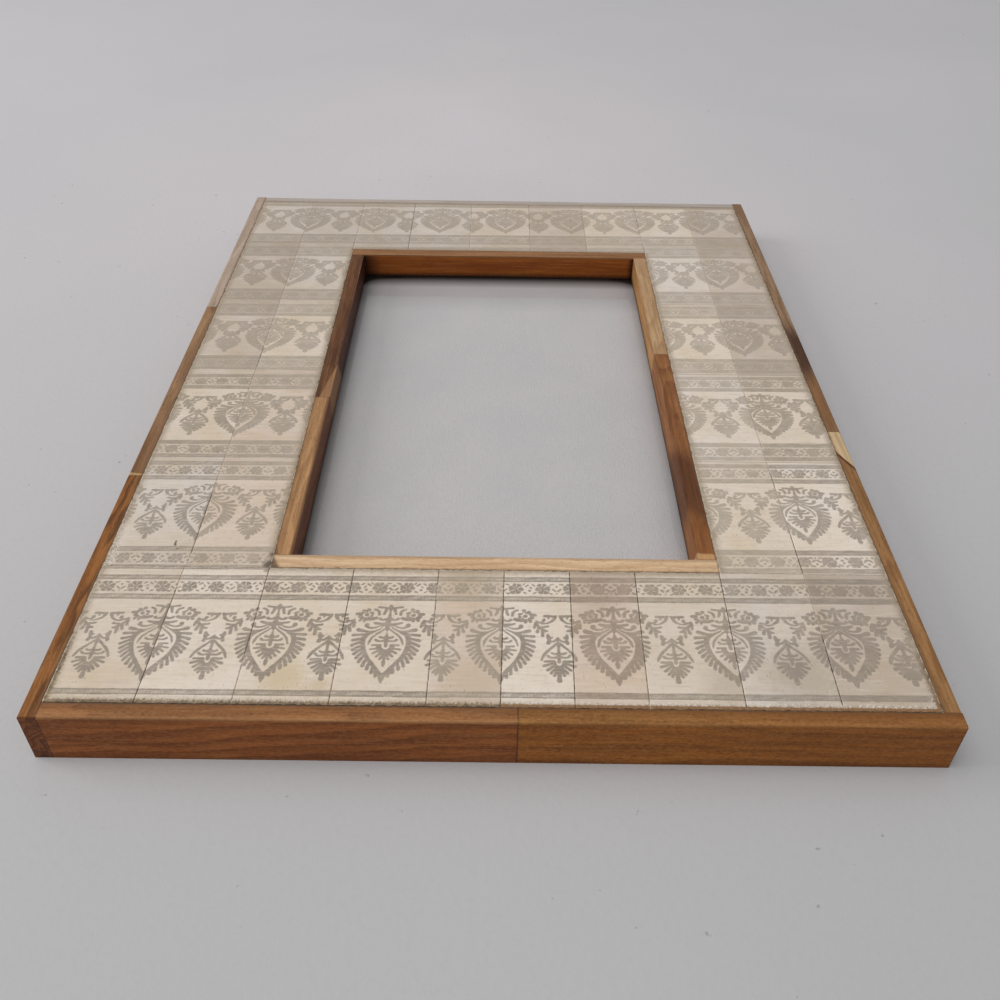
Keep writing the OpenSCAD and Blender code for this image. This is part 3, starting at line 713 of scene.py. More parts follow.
    height = f.add(f.times(fine, 0.35), f.times(grain, 0.5))
    height = f.less(height, f.times(pores, 1.2))
    roughness = f.add(f.slope(fine, 0.3, 0.7, 0.34, 0.48), f.times(covered, 0.06))
    return f.close(colour, roughness, height, relief=0.03, Specular_IOR_Level=0.4)


# Rows and columns of tiles

COLUMNS = ("left_outer", "left_inner", "right_inner", "right_outer")
NEAR_PITCH, PITCH = 0.16, 0.2       # how far apart the points of a tile's top lie


def seat(piece, node):
    """A tile takes the place of the plain one in the frame."""
    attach(piece, "frame")
    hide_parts(node)


def plan_of(node):
    """The plan of a tile whose sides may lean, from its own corners, as bone_tile takes it."""
    mesh = NODES[node].data
    points = np.zeros(len(mesh.vertices) * 3, np.float32)
    mesh.vertices.foreach_get("co", points)
    x, y = points.reshape(-1, 3)[:, 0] / MM, points.reshape(-1, 3)[:, 1] / MM
    near, far = y.min(), y.max()
    at_near, at_far = x[y < near + 1], x[y > far - 1]
    return near, far, at_near.min(), at_near.max(), at_far.min(), at_far.max()


# Looks of the near row's tiles from the left
NEAR_LOOKS = [
    (CREAM, -1, GREY_INK, 0.02, 0.98, 0.05), (WHITE, 1, GREY_INK, 0.03, 0.98, 0.0),
    (CREAM, 7, GREY_INK, 0.05, 1.0, 0.0), (CREAM, 6, GREY_INK, 0.04, 1.0, 0.0),
    (TAN, 1, WARM_INK, 0.03, 0.86, 0.1), (WHITE, 5, GREY_INK, 0.03, 1.0, 0.0),
    (TAN, 3, BROWN_INK, 0.12, 0.90, 0.15), (CREAM, 1, WARM_INK, 0.04, 0.97, 0.0),
    (ASHEN, 7, GREY_INK, 0.06, 0.88, 0.1), (DULL, 0, GREY_INK, 0.13, 0.88, 0.25)]
NEAR_STAINS = {
    2: [(-48.9, -76.7, 1.0, (92, 80, 67), 0.6)],
    3: [(-40.5, -105.5, 6.0, (200, 178, 138), 0.6), (-33.5, -108.0, 3.5, (190, 166, 128), 0.5)],
    5: [(-6.0, -79.5, 7.0, (186, 168, 138), 0.6), (-4.0, -107.0, 8.0, (196, 176, 152), 0.7)],
    7: [(22.0, -82.0, 9.0, (184, 164, 144), 0.6)],
    8: [(46.0, -106.0, 7.5, (184, 169, 151), 0.6)],
    9: [(60.0, -104.0, 12.0, (178, 165, 148), 0.75)]}


def near_row():
    """Ten tiles along the near side, whose joints lean."""
    for k, look in enumerate(NEAR_LOOKS, 1):
        node, name = f"near_tile_{k}", f"bone_near_{k}"
        wood = ["near"] + ["left"] * (k == 1) + ["right"] * (k == 10) + ["far"] * (3 <= k <= 8)
        piece = bone_tile(name, plan_of(node), NEAR_PITCH, wood, "near", 100 + 10 * k)
        chalk, darkening = (None, 0.95) if k <= 5 else ((0.95, 2.0, LOW[1] + 9), 0.8)
        piece.data.materials.append(bone_finish(name, *look, seed=k, stains=NEAR_STAINS.get(k, ()),
                                                chalk=chalk, darkening=darkening))
        seat(piece, node)


# Looks of the side columns' tiles from near to far. The print lies thicker further up.
SIDE_LOOKS = {
    "left_outer": [(ASHEN, 5, GREY_INK, 0.04, 0.88, 0.15), (CREAM, 1, WARM_INK, 0.12, 0.92, 0.3),
                   (DULL, 4, FAINT_INK, 0.2, 0.90, 0.5), (DULL, -4, FAINT_INK, 0.2, 0.97, 0.55)],
    "left_inner": [(TAN, 2, WARM_INK, 0.07, 0.82, 0.25), (TAN, -1, FAINT_INK, 0.15, 0.93, 0.35),
                   (CREAM, 1, FAINT_INK, 0.2, 0.83, 0.45), (ASHEN, 0, FAINT_INK, 0.2, 0.88, 0.5)],
    "right_inner": [(CREAM, 8, WARM_INK, 0.11, 0.73, 0.2), (WHITE, 2, FAINT_INK, 0.14, 0.77, 0.25),
                    (CREAM, 10, FAINT_INK, 0.18, 0.77, 0.4), (ASHEN, 14, FAINT_INK, 0.16, 0.77, 0.45)],
    "right_outer": [(WHITE, 7, GREY_INK, 0.09, 0.86, 0.1), (CREAM, 8, WARM_INK, 0.16, 0.86, 0.3),
                    (DULL, 5, FAINT_INK, 0.2, 0.85, 0.5), (DULL, 7, FAINT_INK, 0.18, 0.80, 0.5)]}
# A chip, the dark residue at the window's corner and the pale flakes, by column and row
SIDE_STAINS = {
    ("left_outer", 0): [(-70.7, -67.9, 0.42, (74, 66, 56), 0.9),
                        (-70.7, -68.5, 0.42, (74, 66, 56), 0.9),
                        (-70.6, -69.1, 0.46, (74, 66, 56), 0.9),
                        (-69.9, -70.3, 0.4, (90, 80, 68), 0.8)]}
SIDE_SOIL = {
    ("left_inner", 0): [(-48.8, -74.9, 1.9, (84, 71, 59), 0.85),
                        (-48.6, -71.8, 1.1, (88, 76, 64), 0.7)]}
SIDE_CHALK = {("left_outer", 0): (0.95, 2.9, -61.0)}


def side_columns():
    """Two columns up each side; a column's four tiles are cut from its whole length."""
    for c, column in enumerate(COLUMNS):
        node = f"{column}_tiles"
        low, high = box_of(node)
        for k, look in enumerate(SIDE_LOOKS[column]):
            row = f"side_{k + 1}"
            near, far = ROW_FEET[row] + HALF_GAP, ROW_FEET[row] + SIDE_PITCH - HALF_GAP
            plan = (near, far, low[0], high[0], low[0], high[0])
            name = f"bone_{column}_{k + 1}"
            wood = ["left"] if c in (0, 2) else ["right"]   # the edging or the window's lining
            piece = bone_tile(name, plan, PITCH, wood, row, 300 + 40 * c + 10 * k)
            piece.data.materials.append(bone_finish(name, *look, seed=20 + 4 * c + k,
                                                    stains=SIDE_STAINS.get((column, k), ()),
                                                    soil=SIDE_SOIL.get((column, k), ()),
                                                    chalk=SIDE_CHALK.get((column, k))))
            seat(piece, node)


# Looks of the far row's tiles from the left
FAR_LOOKS = [
    (ASHEN, -6, FAINT_INK, 0.2, 0.92, 0.5), (ASHEN, -9, FAINT_INK, 0.2, 0.95, 0.5),
    (ASHEN, -4, FAINT_INK, 0.2, 0.90, 0.45), (ASHEN, 0, FAINT_INK, 0.2, 0.85, 0.35),
    (CREAM, -6, FAINT_INK, 0.2, 0.88, 0.35), (DULL, 5, BROWN_INK, 0.2, 0.66, 0.4),
    (CREAM, 0, FAINT_INK, 0.18, 0.80, 0.4), (WHITE, -2, FAINT_INK, 0.2, 0.82, 0.4),
    (DULL, 3, FAINT_INK, 0.2, 0.85, 0.5)]


def far_row():
    """Nine tiles along the far side. They carry the cell above the last side row, cut off by
    the edging; the middle five reach down to the window."""
    for k, look in enumerate(FAR_LOOKS, 1):
        node, name = f"far_tile_{k}", f"bone_far_{k}"
        wood = ["far"] + ["left"] * (k == 1) + ["right"] * (k == 9) + ["near"] * (3 <= k <= 7)
        piece = bone_tile(name, plan_of(node), PITCH, wood, "far", 600 + 10 * k)
        piece.data.materials.append(bone_finish(name, *look, seed=60 + k))
        seat(piece, node)


near_row()
side_columns()
far_row()


# The resin that fills the joints, a hair below the tiles

# How dark the resin shows along the near row's joints: spans (start, stop, darkness) given as
# shares of the joint's length from its near end. Elsewhere it is about as pale as the bone.
NEAR_DARK = [
    [(0.0, 0.3, 0.9), (0.3, 0.8, 0.5)], [(0.0, 0.35, 0.35), (0.35, 1.0, 0.6)],
    [(0.0, 0.4, 0.5), (0.4, 0.7, 0.95), (0.7, 1.0, 0.8)], [(0.0, 0.75, 0.55), (0.9, 1.0, 0.5)],
    [(0.0, 0.5, 0.9), (0.5, 1.0, 0.6)], [(0.0, 1.0, 0.9)], [(0.05, 0.45, 0.5), (0.5, 1.0, 0.9)],
    [(0.03, 1.0, 0.75)], [(0.05, 0.5, 0.8)]]
FAR_DARK = {3: [(0.0, 1.0, 0.45)], 5: [(0.3, 1.0, 0.3)], 7: [(0.3, 1.0, 0.3)]}
COLUMN_DARK = {"left": [(0.03, 0.15, 0.6), (0.51, 0.57, 0.45)],
               "right": [(0.0, 0.08, 0.8), (0.19, 0.22, 0.5)]}
JOINT_HALF, SEAM_WIDE = 0.13, 0.42      # a bar's half width in a joint, and its width in a seam
RESIN_DEEP, RESIN_SWAY = 0.068, 0.01    # how far the resin lies below the face, and its waves
PALE_NEAR, PALE_ELSEWHERE = 0.12, -0.12     # least darkness in the near row and elsewhere


def joint_lines():
    """Every joint between two tiles as ((x, y, x, y), dark spans), then every seam between
    tiles and wood as (x, y, x, y, darkness)."""
    lines = []
    near = [plan_of(f"near_tile_{k}") for k in range(1, 11)]
    for a, b, dark in zip(near, near[1:], NEAR_DARK):
        lines.append((((a[3] + b[2]) / 2, a[0], (a[5] + b[4]) / 2, a[1]), dark))
    far = [plan_of(f"far_tile_{k}") for k in range(1, 10)]
    for k, (a, b) in enumerate(zip(far, far[1:]), 1):
        ends = (a[3] + b[2]) / 2, max(a[0], b[0]), (a[5] + b[4]) / 2, a[1]
        lines.append((ends, FAR_DARK.get(k, [])))
    for side, dark in COLUMN_DARK.items():
        outer, inner = box_of(f"{side}_outer_tiles"), box_of(f"{side}_inner_tiles")
        ends = sorted((outer[0][0], outer[1][0], inner[0][0], inner[1][0]))
        joint = (ends[1] + ends[2]) / 2
        lines.append(((joint, NEAR_TOP, joint, SIDE_TOP), dark))
        for k in range(SIDE_ROWS + 1):
            y = NEAR_TOP + SIDE_PITCH * k
            lines.append(((ends[0], y, ends[-1], y), [(0.0, 1.0, 0.3)] if k == 0 else []))
    x0, y0, x1, y1 = *FIELD_LOW[:2], *FIELD_HIGH[:2]
    a, b = HOLE_X, HOLE_Y
    lines += [((-a, b, -a, SIDE_TOP), []), ((a, b, a, SIDE_TOP), [])]
    seams = [(x0, y0, 0, y0, 0.95), (0, y0, x1, y0, 0.7), (x1, y0, x1, y1, 0.25),
             (x1, y1, x0, y1, 0.1), (x0, y1, x0, y0, 0.25), (-a, -b, -a, b, 0.25),
             (-a, b, a, b, 0.1), (a, b, a, -b, 0.25), (a, -b, -a, -b, 0.25)]
    return lines, seams


def resin():
    """A bar of resin along every line. Its top is a strip of points every millimetre, five
    abreast: start + way * t + left * w, below the tiles by a wandering hair. A seam's bar
    lies on the left of the way it runs only, beside the tiles' ragged sides."""
    points, darkness, tops, walls, bases, count = [], [], [], [], [], 0
    lines, seams = joint_lines()
    across = {"joint": np.linspace(-JOINT_HALF, JOINT_HALF, 5), "seam": np.linspace(0.0, SEAM_WIDE, 5)}
    bars = [(line, dark, "joint") for line, dark in lines]
    bars += [(seam[:4], [(0.0, 1.0, seam[4])], "seam") for seam in seams]
    for b, ((x0, y0, x1, y1), dark, kind) in enumerate(bars):
        length = math.hypot(x1 - x0, y1 - y0)
        n = max(2, round(length))
        way = np.array([x1 - x0, y1 - y0]) / length
        T, W = np.meshgrid(np.linspace(0.02, length - 0.02, n + 1), across[kind], indexing="ij")
        X = x0 + way[0] * T - way[1] * W
        Y = y0 + way[1] * T + way[0] * W
        Z = FACE - RESIN_DEEP + RESIN_SWAY * wander(900 + b, T, W * 9, size=6.0)
        shade = np.full_like(T, PALE_NEAR if y0 < NEAR_TOP - 1 else PALE_ELSEWHERE)
        for start, stop, level in dark:
            inside = np.minimum(T - start * length, stop * length - T)
            shade = np.maximum(shade, level * np.clip(inside + 1, 0, 1))
        top = np.stack([X, Y, Z], -1).reshape(-1, 3)
        quads, rim = grid_faces(*X.shape)
        rim, quads = rim[::-1], quads[:, ::-1]      # this grid runs the other way round
        bar, wall, base = box_in(top, rim, FACE - BODY, top[rim, :2].mean(0))
        points.append(bar)
        darkness += [shade.ravel(), np.ones(len(bar) - len(top))]
        for kept, new in ((tops, quads), (walls, wall), (bases, base)):
            kept.append(new + count)
        count += len(bar)
    faces = [np.vstack(tops), np.vstack(walls), np.vstack(bases)]
    piece = mesh_piece("joint_resin", np.vstack(points), faces, smooth=len(faces[0]))
    give(piece, "dark", np.concatenate(darkness))
    f = Finish("joint_resin")
    p = f.place()
    dashes = f.noise(p, scale=0.75, detail=3.0, rough=0.6)
    level = f.add(f.attribute("dark"), f.times(f.add(dashes, -0.5), 1.3))
    colour = f.tint(paint(196, 183, 166), paint(120, 102, 82), f.slope(level, 0.15, 0.45))
    colour = f.tint(colour, paint(56, 42, 32), f.slope(level, 0.42, 0.85))
    piece.data.materials.append(f.close(colour, 0.6, dashes, relief=0.03, Specular_IOR_Level=0.3))
    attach(piece, "frame")


resin()


# Wood

# the third of these is the dark of painted shade at the strips' lower edges and in the window's corners
STRAW, UMBER, SHADE_COLOUR = (255, 226, 170), (30, 16, 8), (22, 12, 7)
RUBBED_IN, SEAM_LINE = (116, 90, 64), (84, 60, 42)      # residue on the wood beside the tiles
WOOD_ROUGH = 0.55


def wood_finish(name, top, side, seed, ring=3.4, lines=0.5, pith=(9.0, -30.0), slope=(0.03, 0.035),
                flame=2.4, streaks=0.7, flecks=0.5, speckle=0.0, patches=(), beside=1, residue=0.5,
                darkening=0.0, seam=0.5, end=((92, 52, 30), 0.5), foot=0.35, corners=(), arris=None):
    """The finish of the strip called name, which lies along its longer side. top and side are the light
    and the dark colour of its upper face, lighter with wear, and of its upright ones. Growth rings, ring
    apart, run round a pith line beside and below the strip. It leans to the strip by slope and is bent
    by flame, so that the rings cross the faces as flames and the ends as arcs. lines, streaks, flecks
    and speckle are the shares of the rings, of broad streaks, of fine fibres and of specks.

    patches are (start, stop, slant, softness, colour, share) along the strip, from its middle.
    beside is the side where the tiles lie: residue covers the strip's edge there, darkening is how much
    darker that half is, and seam is the line along the tiles. end is (colour, share) at the two ends,
    foot is the share of painted shade along the lower edge, corners are how far painted shade reaches
    along a wall of the window from its left and right ends, and arris is (share, colour) of a line along
    the outer arris, which on the near edging is a painted highlight."""
    low, high = box_of(name)
    turn = high[1] - low[1] > high[0] - low[0]
    middle, size = (low + high) / 2, high - low
    half_long, half_wide = (size[1] / 2, size[0] / 2) if turn else (size[0] / 2, size[1] / 2)
    f = Finish(name)
    p = f.place(shift=-middle, turn=turn)
    seeded = f.move(p, (seed * 37.0, seed * 11.0, seed * 5.0))
    x, y, z = f.parts(p)
    upper = f.slope(z, size[2] / 2 - 0.6, size[2] / 2 - 0.3)
    light, dark = (f.tint(paint(*below), paint(*above), upper) for above, below in zip(top, side))
    bend = f.add(f.noise(f.stretch(seeded, 0.022, 0.11, 0.11), detail=3.0), -0.5)
    wobble = f.add(f.noise(f.stretch(seeded, 0.06, 0.55, 0.55), detail=4.0), -0.5)
    across = f.add(f.add(y, -pith[0]), f.times(x, slope[0]))
    deep = f.add(f.add(z, -pith[1]), f.times(x, slope[1]))
    radius = f.math("SQRT", f.add(f.times(across, across), f.times(deep, deep)))
    radius = f.add(radius, f.add(f.times(bend, 7.0 * flame), f.times(wobble, 1.0)))
    share = f.math("FRACT", f.times(radius, 1 / ring))
    late = f.times(f.rise(share, 0.15, 0.85), f.rise(share, 1.0, 0.88))
    colour = f.tint(light, dark, f.times(late, lines))
    broad = f.noise(f.stretch(seeded, 0.03, 0.35, 0.35), detail=3.0)
    colour = f.tint(colour, dark, f.slope(broad, 0.45, 0.75, 0.0, streaks))
    streak = f.noise(f.stretch(seeded, 0.05, 1.5, 1.5), detail=5.0, rough=0.65)
    colour = f.tint(colour, dark, f.slope(streak, 0.5, 0.75, 0.0, streaks))
    pale = f.tint(light, paint(*STRAW), 0.12)
    colour = f.tint(colour, pale, f.slope(streak, 0.48, 0.25, 0.0, streaks))
    fibre = f.noise(f.stretch(seeded, 0.45, 5.0, 5.0), detail=4.0, rough=0.65)
    umber = f.tint(dark, paint(*UMBER), 0.6)
    colour = f.tint(colour, umber, f.slope(fibre, 0.5, 0.85, 0.0, flecks))
    colour = f.tint(colour, pale, f.slope(fibre, 0.42, 0.2, 0.0, flecks))
    pores = f.rise(f.noise(f.stretch(seeded, 0.7, 5.0, 5.0), detail=1.0), 0.62, 0.74)
    colour = f.tint(colour, umber, f.times(pores, flecks))
    if speckle:
        specks = f.noise(f.stretch(seeded, 1.3, 2.2, 2.2), detail=3.0, rough=0.7)
        colour = f.tint(colour, pale, f.slope(specks, 0.5, 0.72, 0.0, speckle))
        colour = f.tint(colour, umber, f.slope(specks, 0.48, 0.26, 0.0, speckle))
    lighter, darker, undercut = 1.05, 0.87, 0.4     # a patch's grain, and its lean with depth
    for start, stop, slant, soft, tone, amount in patches:
        along = f.add(f.add(x, f.times(y, slant)), f.times(wobble, soft))
        along = f.add(along, f.times(f.add(z, -size[2] / 2), undercut))
        mask = f.times(f.rise(along, start - soft / 2, start + soft / 2),
                       f.rise(along, stop + soft / 2, stop - soft / 2))
        patch = f.tint(paint(*(c * lighter for c in tone)), paint(*(c * darker for c in tone)),
                       f.slope(streak, 0.35, 0.65))
        colour = f.tint(colour, patch, f.times(mask, amount))
    grain = f.noise(seeded, scale=0.9, detail=4.0, rough=0.65)
    inner = f.less(half_wide, f.times(y, beside))
    dusty = f.slope(f.less(inner, f.times(grain, 1.5)), 0.1, -0.8, 0.0, residue)
    colour = f.tint(colour, paint(*RUBBED_IN), f.times(dusty, upper))
    # the top's half beside the tiles is made darker, most at its inner edge
    inner_dark = f.slope(f.add(inner, wobble), 0.2, 2.6, darkening, 0.0)
    colour = f.tint(colour, dark, f.times(inner_dark, upper))
    line = f.slope(f.less(inner, f.times(grain, 0.7)), 0.0, -0.3, 0.0, seam)
    colour = f.tint(colour, paint(*SEAM_LINE), f.times(line, upper))
    ends = f.less(half_long, f.math("ABSOLUTE", x))
    worn_end = f.slope(f.add(ends, f.times(wobble, 0.2)), 0.26, 0.08, 0.0, end[1])
    colour = f.tint(colour, paint(*end[0]), worn_end)
    height = f.add(z, f.add(size[2] / 2, f.times(f.add(grain, -0.5), 0.8)))
    # painted shade: each strip's lower edge is painted dark where it stands on the floor or on the glass
    colour = f.tint(colour, paint(*SHADE_COLOUR), f.slope(height, 1.9, 0.1, 0.0, foot))
    # painted shadow: a window wall is painted darker towards its ends, where the side walls shade it
    for way, reach in zip((1, -1), corners):
        gap = f.add(f.times(x, way), WINDOW_HIGH[0])
        shade = f.slope(f.add(gap, wobble), 0.5, reach, 0.85, 0.0)
        colour = f.tint(colour, paint(*SHADE_COLOUR), f.less(shade, upper))
    # on the near edging the line along the outer arris is a painted highlight; on the linings it is a
    # darker line
    if arris:
        share, edge_mark = arris
        outward = f.add(f.times(y, -beside), f.add(z, f.times(wobble, 0.5)))
        limit = half_wide + size[2] / 2
        arris_line = f.slope(outward, limit - 0.85, limit - 0.25, 0.0, share)
        colour = f.tint(colour, paint(*edge_mark), arris_line)
    relief = f.add(f.times(fibre, -0.5), f.times(pores, -0.8))
    rough = f.slope(fibre, 0.3, 0.7, WOOD_ROUGH - 0.05, WOOD_ROUGH + 0.08)
    return f.close(colour, rough, relief, relief=0.04, Specular_IOR_Level=0.22)


# The window's corners, read from the lining
WINDOW_LOW = np.array([box_of("lining_left_near")[1][0], box_of("lining_near")[1][1]])
WINDOW_HIGH = np.array([box_of("lining_right_near")[0][0], box_of("lining_far")[0][1]])
SAPWOOD, EBONY = (206, 178, 138), (62, 29, 13)
# Each strip's light and dark colours on its top and on its upright faces, and its own grain
STRIPS = {
    "edging_near_left": dict(top=((162, 110, 66), (110, 68, 36)), side=((165, 96, 43), (102, 51, 19)),
                             seed=1, arris=(0.4, (164, 120, 80)), residue=0.8, flame=1.1, lines=0.55,
                             ring=3.1, streaks=0.6, slope=(0.02, -0.075), darkening=0.45, speckle=0.35,
                             end=((50, 27, 15), 0.75)),
    "edging_near_right": dict(top=((159, 108, 56), (104, 62, 27)), side=((170, 103, 37), (104, 55, 15)),
                              seed=2, lines=0.35, flame=1.6, flecks=0.4, streaks=0.5, darkening=0.6,
                              arris=(0.2, (168, 120, 68)), speckle=0.5,
                              patches=[(0.0, 60.0, 0.0, 20.0, (122, 68, 24), 0.25)]),
    "edging_left_near": dict(top=((152, 97, 48), (92, 54, 20)), side=((150, 86, 40), (76, 36, 16)),
                             seed=3, lines=0.9, ring=2.0, slope=(0.06, 0.05), residue=0.3,
                             end=((104, 58, 30), 0.4)),
    "edging_left_middle": dict(top=((155, 119, 87), (105, 73, 46)), side=((140, 98, 60), (92, 58, 32)),
                               seed=4,
                               patches=[(-60.0, -18.0, 0.2, 14.0, (116, 80, 50), 0.6),
                                        (-40.6, -39.6, 0.2, 0.4, (196, 160, 112), 0.8)]),
    "edging_left_far": dict(top=((182, 162, 146), (148, 127, 108)), side=((150, 120, 90), (116, 88, 60)),
                            seed=5),
    "edging_right_near": dict(top=((157, 115, 72), (111, 72, 38)), side=((150, 104, 58), (106, 64, 30)),
                              seed=6, beside=-1,
                              patches=[(32.9, 47.0, 2.09, 0.8, SAPWOOD, 0.9),
                                       (31.2, 32.9, 2.09, 0.8, EBONY, 0.75)]),
    "edging_right_far": dict(top=((154, 124, 95), (112, 81, 56)), side=((128, 90, 58), (84, 50, 28)),
                             seed=7, beside=-1,
                             patches=[(-72.0, -42.0, 0.5, 12.0, (128, 86, 48), 0.75),
                                      (-44.0, -17.0, 0.5, 14.0, EBONY, 0.9)]),
    "edging_far": dict(top=((182, 172, 163), (148, 134, 122)), side=((130, 104, 78), (100, 74, 50)),
                       seed=8, beside=-1, lines=0.2, residue=0.4, flecks=0.2, darkening=0.3, seam=0.1),
    "lining_near": dict(top=((222, 189, 153), (183, 147, 109)), side=((200, 160, 112), (160, 116, 70)),
                        seed=9, beside=-1, ring=1.5, lines=0.6, residue=0.3, flecks=0.5,
                        pith=(12.0, -7.0), flame=1.2, streaks=0.55, foot=0.8,
                        arris=(0.5, (152, 126, 100)),
                        patches=[(-60.0, -47.5, 0.5, 1.2, (92, 76, 61), 0.85)]),
    "lining_far": dict(top=((152, 108, 70), (112, 72, 41)), side=((162, 90, 30), (120, 57, 15)),
                       seed=10, lines=0.3, residue=0.4, foot=0.97, corners=(5.5, 2.0)),
    # the two left linings' upright faces, which are turned away from the light, are given darker side
    # colours, partly as painted shade
    "lining_left_near": dict(top=((183, 139, 96), (130, 92, 58)), side=((124, 74, 41), (80, 42, 20)),
                             seed=11, beside=-1, residue=0.4, foot=0.8, arris=(0.75, (76, 38, 18)),
                             patches=[(-60.0, -32.5, 2.6, 2.0, (92, 74, 58), 0.6)]),
    "lining_left_far": dict(top=((106, 66, 37), (66, 36, 17)), side=((82, 36, 13), (53, 20, 7)),
                            seed=12, beside=-1, residue=0.3, foot=0.8,
                            patches=[(-90.0, -37.1, -6.2, 3.0, (162, 121, 84), 0.75)]),
    "lining_right_near": dict(top=((146, 96, 54), (90, 44, 19)), side=((168, 112, 62), (116, 64, 29)),
                              seed=13, flame=2.6, lines=0.5, ring=2.8, slope=(0.12, 0.1), residue=0.3,
                              foot=0.8, patches=[(-29.0, -3.0, 0.8, 9.0, (66, 30, 13), 0.7),
                                                 (-44.0, -28.0, 0.8, 7.0, (128, 76, 34), 0.4),
                                                 (-42.4, -40.3, 0.1, 0.9, (196, 152, 104), 0.9)]),
    "lining_right_far": dict(top=((190, 156, 117), (148, 110, 75)), side=((192, 142, 87), (148, 99, 54)),
                             seed=14, residue=0.3, foot=0.8),
}
for strip, choices in STRIPS.items():
    dress(strip, wood_finish(strip, **choices))
PINE = ((186, 150, 106), (150, 112, 70))    # the hidden core, alike on every face
for core in ("core_rail_near", "core_rail_far", "core_stile_left", "core_stile_right"):
    dress(core, wood_finish(core, PINE, PINE, seed=len(core), residue=0.0, foot=0.0))


# Window and back

def felt_finish():
    """Grey felted card: soft clouds and short crossed fibres. Painted shade darkens it along the
    window's walls, most at the far one, by shares that fade with distance."""
    f = Finish("grey_felt")
    p = f.place()
    cloud = f.noise(p, scale=0.05, detail=4.0)
    nap = f.noise(p, scale=1.6, detail=5.0, rough=0.7)
    fibre = f.noise(f.stretch(p, 3.5, 0.8, 1.0), detail=3.0, twist=1.5)
    colour = f.tint(paint(209, 200, 202), paint(204, 196, 198), f.slope(cloud, 0.35, 0.7))
    colour = f.tint(colour, paint(180, 174, 176), f.slope(nap, 0.52, 0.75, 0.0, 0.4))
    colour = f.tint(colour, paint(216, 212, 213), f.slope(fibre, 0.55, 0.8, 0.0, 0.3))
    x, y, _ = f.parts(p)
    # painted shade: the card is painted darker near the window's walls, most of all at the far one,
    # where the walls shade it
    from_far = f.add(f.times(y, -1.0), WINDOW_HIGH[1])
    painted_shade = f.add(f.slope(from_far, 0.2, 6.3, 0.78, 0.0), f.slope(from_far, 14.0, 22.0, 0.16, 0.0))
    from_left = f.add(x, -WINDOW_LOW[0])
    from_right = f.add(f.times(x, -1.0), WINDOW_HIGH[0])
    from_near = f.add(y, -WINDOW_LOW[1])
    for gap, share, reach in ((from_left, 0.36, 1.5), (from_left, 0.2, 8.5),
                              (from_right, 0.35, 3.0), (from_near, 0.12, 2.0)):
        fades = f.math("EXPONENT", f.times(gap, -1 / reach))
        painted_shade = f.add(painted_shade, f.times(fades, share))
    colour = f.tint(colour, paint(24, 16, 12), painted_shade)
    return f.close(colour, 0.95, f.add(nap, fibre), relief=0.12, Sheen_Weight=0.15,
                   Specular_IOR_Level=0.2)


def glass_finish():
    """Clear picture glass with faint smudges. To the light that falls on the card it is
    simply clear, so the card isn't left in the dark behind it."""
    f = Finish("picture_glass")
    smudge = f.slope(f.noise(f.place(), scale=0.08, detail=4.0), 0.4, 0.8, 0.02, 0.07)
    glass = f.put("BsdfPrincipled", {"Base Color": (0.96, 0.985, 0.98, 1), "Roughness": smudge,
                                     "Transmission Weight": 1.0, "IOR": 1.5})
    clear = f.put("BsdfTransparent", {"Color": (0.93, 0.95, 0.945, 1)})
    shadow, soft = (f.put("LightPath", {}, out=f"Is {ray} Ray") for ray in ("Shadow", "Diffuse"))
    both = f.put("MixShader", {0: f.math("MAXIMUM", shadow, soft), 1: glass, 2: clear})
    f.tree.links.new(both, f.end.inputs["Surface"])
    return f.material


def board_finish(name, light, dark):
    """Hardboard covered in black paper: fine mottle and a little dust."""
    f = Finish(name)
    p = f.place()
    mottle = f.noise(p, scale=0.9, detail=5.0, rough=0.65)
    dust = f.noise(p, scale=0.11, detail=4.0)
    colour = f.tint(paint(*light), paint(*dark), f.slope(mottle, 0.35, 0.7))
    colour = f.tint(colour, paint(96, 90, 84), f.slope(dust, 0.58, 0.85, 0.0, 0.35))
    return f.close(colour, 0.82, mottle, relief=0.08, Specular_IOR_Level=0.3)


def metal_finish(name, colour, roughness, tarnish):
    """Plain sheet metal with drawn lines, dull patches and a few dark spots."""
    f = Finish(name)
    p = f.place()
    drawn = f.noise(f.stretch(p, 1.2, 14.0, 6.0), detail=3.0)
    patch = f.noise(p, scale=0.5, detail=4.0)
    shade = f.tint(paint(*colour), paint(*tarnish), f.slope(patch, 0.45, 0.8, 0.0, 0.75))
    rough = f.add(f.slope(drawn, 0.3, 0.7, roughness - 0.06, roughness + 0.06),
                  f.slope(patch, 0.4, 0.8, 0.0, 0.2))
    return f.close(shade, rough, drawn, relief=0.01, Metallic=1.0)


dress("glass_pane", glass_finish())
dress("backing_card", felt_finish())
PAPER = board_finish("black_paper", (46, 44, 43), (32, 31, 31))
BRASS = metal_finish("stamped_brass", (196, 164, 96), 0.32, (128, 98, 54))
STEEL = metal_finish("plain_steel", (176, 176, 178), 0.3, (120, 116, 112))
for board in ("back_panel", "easel_leg"):
    dress(board, PAPER)
for plate in ("hinge_panel_leaf", "hinge_leg_leaf", "turn_button_left_near", "turn_button_left_far",
              "turn_button_right_near", "turn_button_right_far"):
    dress(plate, BRASS)
for pin in ("hinge_pin", "panel_rivets", "leg_rivets", "button_screws"):
    dress(pin, STEEL)


# Floor, light and camera

